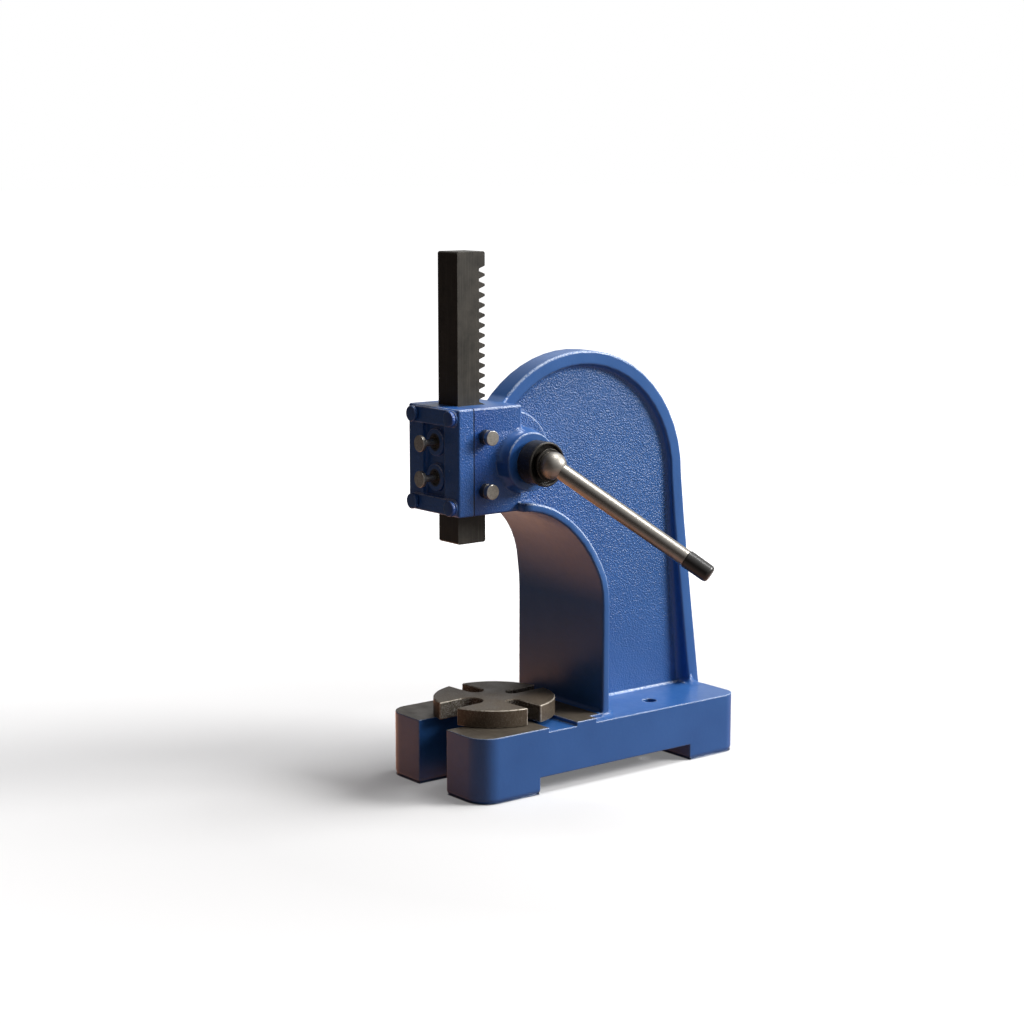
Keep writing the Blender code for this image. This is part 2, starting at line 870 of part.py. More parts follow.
def plate_cutters():
    """The hollow back of the face plate and the stepped holes of the front screws."""
    relief = box(
        "ram relief",
        (-slide_half, ram_front_y - slide_gap, head_bottom_z - overrun),
        (slide_half, plate_back_y + overrun, head_top_z + overrun),
    )
    reach = front_gib_width / 2 + rest_gap
    rise = front_gib_height / 2 + rest_gap
    gib_pocket = box(
        "front gib pocket",
        (-reach, front_gib_front_y - rest_gap, head_middle_z - rise),
        (reach, plate_back_y + overrun, head_middle_z + rise),
    )
    cutters = [as_cutter(relief), as_cutter(gib_pocket)]
    bore_floor_y = screw_boss_front_y + screw_boss_bore_depth
    for level, z in front_screw_heights().items():
        through = rod("front screw hole " + level, hole_radius, -plate_back_y - overrun, -plate_front_y)
        bore = rod(
            "front screw bore " + level, screw_boss_bore_diameter / 2, -bore_floor_y,
            -plate_front_y + overrun, round_steps,
        )
        cutters.append(as_cutter(through, (0, 0, z), along_front))
        cutters.append(as_cutter(bore, (0, 0, z), along_front))
    return cutters


def make_face_plate(material):
    low = (-head_side_x, plate_front_y, head_bottom_z)
    high = (head_side_x, plate_back_y, head_top_z)
    plate = as_cutter(box("face_plate", low, high, plate_edge_round, sharp_side=(0, 1, 0)))
    half = pocket_width / 2
    pocket = box(
        "plate pocket",
        (-half, plate_front_y - overrun, head_middle_z - pocket_height / 2),
        (half, pocket_floor_y, head_middle_z + pocket_height / 2),
        pocket_edge_round,
    )
    cut_with(plate, as_cutter(pocket))
    join_with(plate, *plate_bars(), *plate_screw_bosses())
    plate = frozen(plate, split_faces=True)
    cut_with(plate, *plate_cutters())
    cut_with(plate, *plate_screw_holes(bar_front_y - overrun, plate_back_y + overrun, "plate screw hole"))
    return as_part(plate, material)


def make_plate_screws(material):
    """Four cheese-head screws through the bars into the head, painted with the plate."""
    radius = plate_screw_head_diameter / 2
    edge = plate_screw_edge_round
    shank = plate_screw_diameter / 2
    head_back_at = bar_front_y - rest_gap
    length = head_front_y + plate_screw_depth_in_head - head_back_at
    profile = [(0, plate_screw_head_height)]
    profile += arc((radius - edge, plate_screw_head_height - edge), edge, 90, 0, section_round_steps)
    profile += [(radius, 0), (shank, 0), (shank, -length), (0, -length)]
    for corner, (x, z) in plate_screw_places().items():
        screw = turned("plate_screw_" + corner, profile, small_steps)
        as_part(screw, material, place=(x, head_back_at, z), turn=along_front)


def knob_screw_profile(knob_radius, knob_thickness, neck_radius, neck_length, length):
    """Profile of a screw with a flat round head, a thinner neck and a plain shank."""
    edge = knob_edge_round
    shank = gib_screw_diameter / 2
    shank_start = -knob_thickness - neck_length
    profile = [(0, 0)]
    profile += arc((knob_radius - edge, -edge), edge, 90, 0, section_round_steps)
    profile += arc((knob_radius - edge, edge - knob_thickness), edge, 0, -90, section_round_steps)
    profile += [(neck_radius, -knob_thickness), (neck_radius, shank_start)]
    profile += [(shank, shank_start - edge), (shank, edge - length), (shank - edge, -length), (0, -length)]
    return profile


def make_front_screws(material):
    """The two screws in the face plate that press the front gib against the ram."""
    face_y = plate_front_y - front_knob_reach
    length = front_gib_front_y - rest_gap - face_y
    profile = knob_screw_profile(
        front_knob_diameter / 2, front_knob_thickness, gib_screw_neck_diameter / 2,
        front_neck_length, length,
    )
    for level, z in front_screw_heights().items():
        screw = turned("front_screw_" + level, profile, small_steps)
        as_part(screw, material, place=(0, face_y, z), turn=along_front)


def make_front_lock_nuts(material):
    """Hexagon nuts sunk in the bores of the face plate's bosses."""
    corner_radius = front_nut_across_flats / 2 / math.cos(math.pi / 6)
    back_y = screw_boss_front_y + screw_boss_bore_depth - rest_gap
    hexagon = arc((0, 0), corner_radius, 0, 300, 5)
    bore = circle((0, 0), hole_radius, small_steps)
    for level, z in front_screw_heights().items():
        nut = plate_from_outline("front_lock_nut_" + level, [hexagon, bore], 0, front_nut_height)
        as_part(nut, material, place=(0, back_y, z), turn=along_front)


def make_side_screws(material):
    """The two screws in the side of the head that press the side gib against the ram."""
    face_x = head_side_x + side_knob_reach
    length = face_x - side_gib_outer_x - rest_gap
    neck_length = side_knob_reach - side_knob_thickness - side_nut_height
    profile = knob_screw_profile(
        side_knob_diameter / 2, side_knob_thickness, gib_screw_diameter / 2, neck_length, length,
    )
    for level, z in side_screw_heights().items():
        screw = turned("side_screw_" + level, profile, small_steps)
        as_part(screw, material, place=(face_x, side_screw_y, z), turn=along_x)


def ring_profile(outer, inner, low, high, edge):
    """Closed profile of a ring with rounded outer edges, between two heights."""
    profile = [(inner, high)]
    profile += arc((outer - edge, high - edge), edge, 90, 0, section_round_steps)
    profile += arc((outer - edge, low + edge), edge, 0, -90, section_round_steps)
    profile.append((inner, low))
    return profile


def make_side_lock_nuts(material):
    """Round lock nuts under the heads of the side screws."""
    start = head_side_x + rest_gap
    profile = ring_profile(side_nut_diameter / 2, hole_radius, 0, side_nut_height, knob_edge_round)
    for level, z in side_screw_heights().items():
        nut = turned("side_lock_nut_" + level, profile, small_steps)
        as_part(nut, material, place=(start, side_screw_y, z), turn=along_x)


def make_gibs(material):
    front_half = front_gib_width / 2
    front = box(
        "front_gib",
        (-front_half, front_gib_front_y, head_middle_z - front_gib_height / 2),
        (front_half, front_gib_back_y, head_middle_z + front_gib_height / 2),
    )
    as_part(front, material)
    side_half = side_gib_width / 2
    side = box(
        "side_gib",
        (side_gib_inner_x, side_screw_y - side_half, side_screw_middle_z - side_gib_height / 2),
        (side_gib_outer_x, side_screw_y + side_half, side_screw_middle_z + side_gib_height / 2),
    )
    as_part(side, material)


def rack_limits():
    """Lowest and highest rack place, measured up the ram, for its whole stroke."""
    contact = pinion_z - ram_bottom_z
    stroke = ram_bottom_z - (anvil_bottom_z + anvil_thickness)
    engaged = math.sqrt(tip_radius**2 - (pinion_y - ram_back_y) ** 2)
    return contact - ram_lift - engaged - tooth_pitch / 2, contact + stroke + engaged + tooth_pitch / 2


def ram_outline():
    """Side view of the ram, its rack on the rear face, with a tooth space level with the pinion."""
    lowest, highest = rack_limits()
    contact = pinion_z - ram_bottom_z
    root_y = ram_back_y - tooth_module * (1 + dedendum_share)
    slope = math.tan(pressure_angle)
    pitch_half = tooth_pitch / 4 + rack_backlash / 2
    mouth_half = pitch_half + tooth_module * slope
    floor_half = pitch_half - tooth_module * dedendum_share * slope
    chamfer = ram_end_chamfer
    lowest = max(lowest, chamfer + rack_end_land + mouth_half)
    highest = min(highest, ram_length - chamfer - rack_end_land - mouth_half)
    outline = [(ram_front_y, chamfer), (ram_front_y + chamfer, 0), (ram_back_y - chamfer, 0)]
    outline.append((ram_back_y, chamfer))
    first = math.ceil((lowest - contact) / tooth_pitch)
    last = math.floor((highest - contact) / tooth_pitch)
    for number in range(first, last + 1):
        middle = contact + number * tooth_pitch
        outline += [(ram_back_y, middle - mouth_half), (root_y, middle - floor_half)]
        outline += [(root_y, middle + floor_half), (ram_back_y, middle + mouth_half)]
    outline += [(ram_back_y, ram_length - chamfer), (ram_back_y - chamfer, ram_length)]
    outline += [(ram_front_y + chamfer, ram_length), (ram_front_y, ram_length - chamfer)]
    return outline


def make_ram(material):
    half = ram_width / 2
    ram = plate_from_outline("ram", [ram_outline()], -half, half)
    as_part(ram, material, place=(0, 0, ram_bottom_z), turn=side_view)


def involute_angle(radius):
    """Angle that an involute flank has turned through at a radius."""
    base_radius = pitch_radius * math.cos(pressure_angle)
    pressure = math.acos(min(base_radius / radius, 1))
    return math.tan(pressure) - pressure


def pinion_outline():
    """Toothed outline, one tooth pointing at the rack."""
    base_radius = pitch_radius * math.cos(pressure_angle)
    half_at_pitch = (tooth_pitch / 2 - pinion_backlash) / 2 / pitch_radius
    start = max(base_radius, root_radius)
    flank = [(root_radius, half_at_pitch + involute_angle(pitch_radius))]
    for step in range(flank_steps + 1):
        radius = start + (tip_radius - start) * step / flank_steps
        flank.append((radius, half_at_pitch + involute_angle(pitch_radius) - involute_angle(radius)))
    outline = []
    for tooth in range(pinion_teeth):
        middle = math.pi + 2 * math.pi * tooth / pinion_teeth
        for radius, turn in flank:
            outline.append((radius * math.cos(middle - turn), radius * math.sin(middle - turn)))
        for radius, turn in reversed(flank):
            outline.append((radius * math.cos(middle + turn), radius * math.sin(middle + turn)))
    return outline


def key_seat():
    """Space of the key in the shaft and in the pinion, as a hidden cutter."""
    reach = pinion_width / 2 + overrun
    side = key_width / 2 + rest_gap
    top = shaft_radius + key_height / 2 + rest_gap
    seat = box("pinion key way", (-reach, -side, 0), (reach, side, top))
    return as_cutter(seat, (0, pinion_y, pinion_z))


def shaft_key_seat():
    reach = key_length / 2 + rest_gap
    side = key_width / 2 + rest_gap
    bottom = shaft_radius - key_height / 2 - rest_gap
    seat = box("shaft key seat", (-reach, -side, bottom), (reach, side, shaft_radius + overrun))
    return as_cutter(seat, (0, pinion_y, pinion_z))


def make_pinion(material, axis):
    half = pinion_width / 2
    bore = circle((0, 0), shaft_bore_radius)
    gear = plate_from_outline("pinion_gear", [pinion_outline(), bore], -half, half)
    cut_with(gear, key_seat())
    as_part(gear, material, axis, turn=side_view)


def make_key(material, axis):
    side = key_width / 2
    low = (-key_length / 2, -side, shaft_radius - key_height / 2)
    key = box("pinion_key", low, (key_length / 2, side, shaft_radius + key_height / 2))
    as_part(key, material, axis)


def make_shaft(material, axis):
    edge = shaft_chamfer
    profile = [
        (0, shaft_right_reach),
        (shaft_radius - edge, shaft_right_reach),
        (shaft_radius, shaft_right_reach - edge),
        (shaft_radius, edge - shaft_left_reach),
        (shaft_radius - edge, -shaft_left_reach),
        (0, -shaft_left_reach),
    ]
    shaft = turned("pinion_shaft", profile, round_steps)
    cut_with(shaft, shaft_key_seat())
    as_part(shaft, material, axis, turn=along_x)


def make_bushes(material):
    start = pinion_width / 2 + bush_side_gap
    end = boss_face_x - rest_gap
    outer = bush_outer_diameter / 2
    profile = [(shaft_bore_radius, end), (outer, end), (outer, start), (shaft_bore_radius, start)]
    for name, turn in (("bush_right", math.pi / 2), ("bush_left", -math.pi / 2)):
        bush = turned(name, profile, round_steps)
        as_part(bush, material, place=(0, pinion_y, pinion_z), turn=(0, turn, 0))


def screw_turn():
    """Rotation that points local Z down and to the rear, square to the shaft."""
    return (math.radians(-135), 0, 0)


def set_screw(name, collar_radius, inner_radius, x, material, axis):
    """A headless screw in a collar, pointing at the shaft, and the hole it sits in."""
    top = collar_radius - set_screw_sunk
    bottom = inner_radius + rest_gap
    radius = set_screw_diameter / 2
    edge = set_screw_sunk / 2
    profile = [(0, top), (radius - edge, top), (radius, top - edge)]
    profile += [(radius, bottom + edge), (radius - edge, bottom), (0, bottom)]
    screw = turned(name, profile, small_steps)
    as_part(screw, material, axis, (x, 0, 0), screw_turn())
    hole = rod(name + " hole", radius + rest_gap, 0, collar_radius + overrun)
    return as_cutter(hole, (x, pinion_y, pinion_z), screw_turn())


def make_retaining_collar(materials, axis):
    """The collar with its set screw that keeps the shaft's left end from moving sideways."""
    radius = retaining_collar_diameter / 2
    start = boss_face_x + turn_gap
    end = start + retaining_collar_length
    profile = ring_profile(radius, shaft_bore_radius, start, end, collar_edge_round)
    collar = turned("retaining_collar", profile, round_steps)
    middle = -(start + end) / 2
    cut_with(collar, set_screw("retaining_screw", radius, shaft_radius, middle, materials["black"], axis))
    as_part(collar, materials["black"], axis, turn=(0, -math.pi / 2, 0))


def make_lever_collar(materials, axis):
    """The collar fixed on the shaft's right end, with a neck behind and a hollow for the ball."""
    radius = collar_diameter / 2
    edge = collar_edge_round
    recess = collar_recess_diameter / 2
    neck = collar_neck_diameter / 2
    shoulder_x = collar_start_x + collar_neck_length
    floor = collar_end_x - collar_recess_depth
    lip = (radius - recess) / 2
    profile = arc((recess + lip, collar_end_x - lip), lip, 180, 0, 2 * section_round_steps)
    profile += arc((radius - edge, shoulder_x + edge), edge, 0, -90, section_round_steps)
    profile += [(neck, shoulder_x), (neck, collar_start_x)]
    profile += [(shaft_bore_radius, collar_start_x), (shaft_bore_radius, floor), (recess, floor)]
    collar = turned("lever_collar", profile, fine_steps)
    first_x = (shoulder_x + shaft_right_reach) / 2
    second_x = (shaft_right_reach + ball_stub_gap + floor) / 2
    cut_with(
        collar,
        set_screw("collar_screw", radius, shaft_radius, first_x, materials["black"], axis),
        set_screw("ball_screw", radius, shaft_radius, second_x, materials["black"], axis),
    )
    as_part(collar, materials["black"], axis, turn=along_x)


def ball_profile():
    """Ball, flange and stub, from the ball's pole down to the stub that sits in the collar."""
    flange_low = collar_end_x + ball_flange_lift
    flange_high = flange_low + ball_flange_thickness
    flange_radius = ball_flange_diameter / 2
    edge = ball_flange_thickness / 4
    lowest = math.degrees(math.asin((flange_high - ball_x) / ball_radius))
    profile = [(0, ball_x + ball_radius)]
    profile += arc((0, ball_x), ball_radius, 90, lowest, ball_steps)[1:]
    profile += arc((flange_radius - edge, flange_high - edge), edge, 90, 0, section_round_steps)
    profile += arc((flange_radius - edge, flange_low + edge), edge, 0, -90, section_round_steps)
    stub_end = shaft_right_reach + ball_stub_gap
    profile += [(shaft_radius, flange_low), (shaft_radius, stub_end), (0, stub_end)]
    return profile


def lever_turn():
    """Rotation that points local Z along the lever, out from the frame and down to the rear."""
    lean = Matrix.Rotation(lever_lean_angle, 3, "Y")
    drop = Matrix.Rotation(-math.pi / 2 - lever_drop_angle, 3, "X")
    return (drop @ lean).to_euler()


def make_lever_ball(material, axis):
    ball = turned("lever_ball", ball_profile(), round_steps)
    socket = rod(
        "lever socket", lever_root_diameter / 2 + rest_gap, lever_seat_from_ball_centre,
        ball_radius + overrun, round_steps,
    )
    cut_with(ball, as_cutter(socket, (ball_x, pinion_y, pinion_z), lever_turn()))
    as_part(ball, material, axis, turn=along_x)


def make_lever_rod(material, axis):
    shoulder = lever_reach - cap_length
    tip = shoulder + lever_spigot_length
    radius = lever_spigot_diameter / 2
    edge = lever_spigot_chamfer
    profile = [(0, tip), (radius - edge, tip), (radius, tip - edge), (radius, shoulder)]
    profile += [(lever_end_diameter / 2, shoulder)]
    profile += [(lever_root_diameter / 2, lever_seat_from_ball_centre + rest_gap)]
    profile += [(0, lever_seat_from_ball_centre + rest_gap)]
    lever = turned("lever_rod", profile, round_steps)
    as_part(lever, material, axis, (ball_x, 0, 0), lever_turn())


def make_lever_cap(material, axis):
    """The black cap on the lever's free end, with a blind bore for the rod's spigot."""
    start = lever_reach - cap_length + rest_gap
    bore = lever_spigot_diameter / 2 + rest_gap
    floor = lever_reach - cap_length + lever_spigot_length + rest_gap
    profile = [(0, lever_reach)] + cap_end()
    profile += [(cap_diameter / 2, start), (bore, start), (bore, floor), (0, floor)]
    cap = turned("lever_cap", profile, round_steps)
    as_part(cap, material, axis, (ball_x, 0, 0), lever_turn())


def anvil_slot_cutters():
    """Four slots of unlike widths, each with a round inner end, a quarter turn apart."""
    cutters = []
    outer = anvil_diameter / 2
    for number, (width, end_radius) in enumerate(zip(anvil_slot_widths, anvil_slot_end_radii)):
        half = width / 2
        outline = stadium((outer + half + overrun, 0), (end_radius + half, 0), half, slot_end_steps)
        slot = plate_from_outline("anvil slot", [outline], -overrun, anvil_thickness + overrun)
        turn = anvil_rest_turn + math.radians(90 * number - 90)
        cutters.append(as_cutter(slot, (0, anvil_axis_y, anvil_bottom_z), (0, 0, turn)))
    return cutters


def make_anvil(material):
    outline = circle((0, 0), anvil_diameter / 2, 2 * round_steps)
    anvil = plate_from_outline("anvil_plate", [outline], 0, anvil_thickness)
    cut_with(anvil, *anvil_slot_cutters())
    round_edges(anvil, anvil_edge_round, segments=1)
    bore = rod("anvil bore", pin_diameter / 2 + turn_gap, -overrun, pin_depth_in_anvil + rest_gap)
    cut_with(anvil, as_cutter(bore, (0, anvil_axis_y, anvil_bottom_z)))
    as_part(anvil, material, place=(0, anvil_axis_y, anvil_bottom_z), turn=(0, 0, anvil_rest_turn))


def make_anvil_pin(material):
    radius = pin_diameter / 2
    edge = pin_chamfer
    top = anvil_bottom_z + pin_depth_in_anvil
    bottom = pad_top_z - pin_depth_in_base
    profile = [(0, top), (radius - edge, top), (radius, top - edge)]
    profile += [(radius, bottom + edge), (radius - edge, bottom), (0, bottom)]
    pin = turned("anvil_pin", profile, round_steps)
    as_part(pin, material, place=(0, anvil_axis_y, 0))


def make_materials():
    return {
        "casting": paint("blue casting paint", (0.035, 0.105, 0.33), 0.42),
        "plate": paint("blue plate paint", (0.030, 0.085, 0.27), 0.4),
        "ram": paint("blackened ram steel", (0.045, 0.038, 0.032), 0.45, 0.7),
        "anvil": paint("blackened anvil iron", (0.10, 0.083, 0.070), 0.5, 0.7),
        "bright": paint("bright steel", (0.60, 0.56, 0.50), 0.28, 1.0),
        "black": paint("black oxide steel", (0.020, 0.019, 0.018), 0.4, 0.6),
        "bronze": paint("bush bronze", (0.50, 0.33, 0.15), 0.35, 1.0),
        "steel": paint("machined steel", (0.42, 0.42, 0.42), 0.35, 1.0),
        "cap": paint("black cap", (0.022, 0.021, 0.020), 0.5),
    }


def make_press():
    materials = make_materials()
    axis = make_empty("lever axis", (0, pinion_y, pinion_z), press_origin)
    make_frame_casting(materials["casting"])
    make_face_plate(materials["plate"])
    make_plate_screws(materials["plate"])
    make_front_screws(materials["bright"])
    make_front_lock_nuts(materials["steel"])
    make_side_screws(materials["bright"])
    make_side_lock_nuts(materials["bright"])
    make_gibs(materials["bronze"])
    make_ram(materials["ram"])
    make_pinion(materials["steel"], axis)
    make_key(materials["steel"], axis)
    make_shaft(materials["steel"], axis)
    make_bushes(materials["bronze"])
    make_retaining_collar(materials, axis)
    make_lever_collar(materials, axis)
    make_lever_ball(materials["bright"], axis)
    make_lever_rod(materials["bright"], axis)
    make_lever_cap(materials["cap"], axis)
    make_anvil(materials["anvil"])
    make_anvil_pin(materials["steel"])


clear_scene()
press_collection = make_collection("arbor_press")
cutter_collection = make_collection("press cutters")
middle_x, middle_y = footprint_middle()
press_origin = make_empty("press origin", (-middle_x, -middle_y, 0))
make_press()
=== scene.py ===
"""Looks of the bench arbor press: blue enamelled casting, blackened ram and anvil, bright lever."""

import math

import bmesh
import bpy
from mathutils import Matrix, Vector


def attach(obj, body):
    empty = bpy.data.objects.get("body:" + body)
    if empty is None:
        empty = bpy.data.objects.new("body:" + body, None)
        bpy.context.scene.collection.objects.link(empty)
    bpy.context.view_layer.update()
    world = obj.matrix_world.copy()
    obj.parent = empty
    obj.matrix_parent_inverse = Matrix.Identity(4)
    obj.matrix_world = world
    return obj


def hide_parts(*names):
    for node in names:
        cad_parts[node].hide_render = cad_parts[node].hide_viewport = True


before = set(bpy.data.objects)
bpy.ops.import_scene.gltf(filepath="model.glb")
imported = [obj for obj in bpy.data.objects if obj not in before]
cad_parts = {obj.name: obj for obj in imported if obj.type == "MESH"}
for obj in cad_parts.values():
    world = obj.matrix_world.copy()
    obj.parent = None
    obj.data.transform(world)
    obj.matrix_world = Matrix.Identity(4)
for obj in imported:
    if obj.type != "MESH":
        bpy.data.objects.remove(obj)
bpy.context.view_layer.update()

mm = 0.001
# Point on the bench under the ram's axis, from which the press's places are measured
ram_foot = Vector((-57.91976, -102.3, 0)) * mm

# Places in millimetres: heights above the bench, depths behind the ram's axis, x to the right of it,
# and a radius round the anvil's own axis
pad_top = 53.0
base_top = 49.6
head_bottom = 223.8
head_plate_joint_y = -12.35
bar_front_y = -29.0
web_rear_y = 203.0
plate_screw_levels = (300.7, 231.1)
plate_screw_sides = (-23.0, 26.2)
front_screw_levels = (279.9, 251.9)
front_screw_end_y = -41.0
side_screw_levels = (285.35, 243.25)
side_screw_y = -1.9
side_screw_end_x = 43.8
side_nut_x = 33.5
shaft_y = 35.55
shaft_z = 264.0
housing_end_x = 45.3
hub_flange_end_x = 67.45
ball_x = 71.3
anvil_y = 32.5
anvil_slot_radius = 47.0

right = (1, 0, 0)
left = (-1, 0, 0)
front = (0, -1, 0)
# The lever leans out to the right from the press's middle plane and drops below level behind the hub
lever_lean = math.radians(45)
lever_drop = math.radians(48.6)
lever_direction = (
    math.sin(lever_lean), math.cos(lever_lean) * math.cos(lever_drop),
    -math.cos(lever_lean) * math.sin(lever_drop),
)


def spot(x, y, z):
    """Place in the press from millimetres right of, behind and above the ram's foot."""
    return Vector((x, y, z)) * mm + ram_foot


# Shader nodes


def feed(tree, item, **values):
    """Set or link a shader node's inputs, named with _ for a space or numbered as i0, i1 and so on."""
    for key, value in values.items():
        numbered = key[0] == "i" and key[1:].isdigit()
        socket = item.inputs[int(key[1:]) if numbered else key.replace("_", " ")]
        if isinstance(value, bpy.types.NodeSocket):
            tree.links.new(value, socket)
        elif isinstance(value, tuple) and len(value) == 3 and socket.type == "RGBA":
            socket.default_value = (*value, 1)
        else:
            socket.default_value = value


def node(tree, kind, settings=None, **values):
    """A new shader node with its settings, and with its inputs set or linked."""
    item = tree.nodes.new("ShaderNode" + kind)
    for key, value in (settings or {}).items():
        setattr(item, key, value)
    feed(tree, item, **values)
    return item


def maths(tree, operation, first, second=0.0):
    return node(tree, "Math", {"operation": operation}, i0=first, i1=second).outputs[0]


def product(tree, first, *others):
    for other in others:
        first = maths(tree, "MULTIPLY", first, other)
    return first


def greatest(tree, first, *others):
    for other in others:
        first = maths(tree, "MAXIMUM", first, other)
    return first


def blend_colour(tree, share, first, second):
    return node(tree, "Mix", {"data_type": "RGBA"}, i0=share, i6=first, i7=second).outputs[2]


def blend_value(tree, share, first, second):
    return node(tree, "Mix", {"data_type": "FLOAT"}, i0=share, i2=first, i3=second).outputs[0]


def ramp(tree, value, low, high, to_low=0.0, to_high=1.0):
    """A value spread evenly from one range to another and held at its ends."""
    settings = {"clamp": True}
    return node(tree, "MapRange", settings, i0=value, i1=low, i2=high, i3=to_low, i4=to_high).outputs[0]


def band(tree, value, start, full, last, end):
    """1 between two values, falling to 0 outside them."""
    return product(tree, ramp(tree, value, start, full), ramp(tree, value, end, last))


def split(tree, vector):
    return node(tree, "SeparateXYZ", Vector=vector).outputs[:3]


def along(tree, vector, direction):
    """How far a vector reaches in a direction."""
    return node(tree, "VectorMath", {"operation": "DOT_PRODUCT"}, i0=vector, i1=direction).outputs["Value"]


def plain_normal(tree):
    """The surface's own normal, without rounding or bump."""
    return node(tree, "NewGeometry").outputs["Normal"]


def marked(tree, layer):
    """The share that a face layer gives, 0 where the mesh has no such layer."""
    return node(tree, "Attribute", {"attribute_name": layer}).outputs["Fac"]


def object_place(tree, stretch=(1, 1, 1)):
    coordinates = node(tree, "TexCoord").outputs["Object"]
    if stretch == (1, 1, 1):
        return coordinates
    return node(tree, "Mapping", Vector=coordinates, Scale=stretch).outputs[0]


def mottle(tree, place, scale, detail=2.0, roughness=0.5):
    return node(tree, "TexNoise", Vector=place, Scale=scale, Detail=detail, Roughness=roughness).outputs[0]


def pebbles(tree, place, scale):
    """Rounded pebbles, 1 at their tops and 0 between them."""
    between, top = 0.62, 0.08
    settings = {"feature": "SMOOTH_F1"}
    cells = node(tree, "TexVoronoi", settings, Vector=place, Scale=scale, Smoothness=0.7)
    return ramp(tree, cells.outputs["Distance"], between, top)


def edge_wear_and_sheen(tree, radius, place, strength, least=0.25):
    """The share of wear and painted highlight along the edges, broken up by fine mottling, and the rounded
    normal.
    """
    flat, bent = 0.985, 0.88
    break_scale, bare_from, bare_to = 700, 0.38, 0.62
    rounded = node(tree, "Bevel", {"samples": 6}, Radius=radius).outputs[0]
    edge = ramp(tree, along(tree, rounded, plain_normal(tree)), flat, bent)
    broken = ramp(tree, mottle(tree, place, break_scale, 3.0), bare_from, bare_to, least, 1.0)
    return product(tree, broken, strength, edge), rounded


def bump(tree, height, strength, distance, normal):
    values = {"Height": height, "Strength": strength, "Distance": distance, "Normal": normal}
    return node(tree, "Bump", **values).outputs[0]


def material(name):
    item = bpy.data.materials.new(name)
    item.use_nodes = True
    return item, item.node_tree, item.node_tree.nodes["Principled BSDF"]


# Where the paint differs on the press


def off_middle(tree, x):
    """Distance right or left of the ram's axis."""
    return maths(tree, "ABSOLUTE", maths(tree, "SUBTRACT", x, ram_foot.x))


def side_facing(tree):
    """1 on faces that look right or left."""
    slanting, square_on = 0.45, 0.8
    sideways = maths(tree, "ABSOLUTE", split(tree, plain_normal(tree))[0])
    return ramp(tree, sideways, slanting, square_on)


def rough_cast_share(tree, place):
    """1 on the web and the housing, less on the head's sides, 0 on the smooth rim, flange and base."""
    head_most = 0.45
    x, _, z = split(tree, place)
    across = off_middle(tree, x)
    web = ramp(tree, across, 8.0 * mm, 5.8 * mm)
    housing = band(tree, across, 18.5 * mm, 19.5 * mm, 20.3 * mm, 21 * mm)
    head = band(tree, across, 31 * mm, 32.5 * mm, 34 * mm, 36 * mm)
    above_bottom = ramp(tree, z, (head_bottom + 0.5) * mm, (head_bottom + 2) * mm)
    above_base = ramp(tree, z, (base_top + 1) * mm, (base_top + 4) * mm)
    share = greatest(tree, web, product(tree, head, above_bottom, head_most), housing)
    return product(tree, share, above_base, side_facing(tree))


def head_shade_share(tree, place):
    """Share of painted shade on the head's sides, which grows towards its front."""
    start_y = 45.0
    most = 0.7
    x, y, z = split(tree, place)
    outer = ramp(tree, off_middle(tree, x), 22 * mm, 31 * mm)
    forward = ramp(tree, y, ram_foot.y + start_y * mm, ram_foot.y + head_plate_joint_y * mm, 0.0, most)
    above = ramp(tree, z, (head_bottom - 20) * mm, head_bottom * mm)
    return product(tree, outer, forward, above)


def screw_shade_share(tree, place):
    """Share of painted shade on the face plate, round its two front screws."""
    shade_outer_radius, shade_full_radius = 7.6 * mm, 6.4 * mm
    most = 0.95
    x, _, z = split(tree, place)
    across = maths(tree, "POWER", maths(tree, "SUBTRACT", x, ram_foot.x), 2.0)
    share = 0.0
    for level in front_screw_levels:
        above = maths(tree, "POWER", maths(tree, "SUBTRACT", z, level * mm), 2.0)
        off_screw = maths(tree, "SQRT", maths(tree, "ADD", across, above))
        share = greatest(tree, ramp(tree, off_screw, shade_outer_radius, shade_full_radius, 0.0, most), share)
    return share


def joint_share(tree, place):
    """1 in the joint between the head and its front plate."""
    _, y, z = split(tree, place)
    off_joint = maths(tree, "ABSOLUTE", maths(tree, "SUBTRACT", y, ram_foot.y + head_plate_joint_y * mm))
    line = ramp(tree, off_joint, 0.75 * mm, 0.35 * mm)
    return product(tree, line, maths(tree, "GREATER_THAN", z, (head_bottom - 1) * mm))


# Finishes


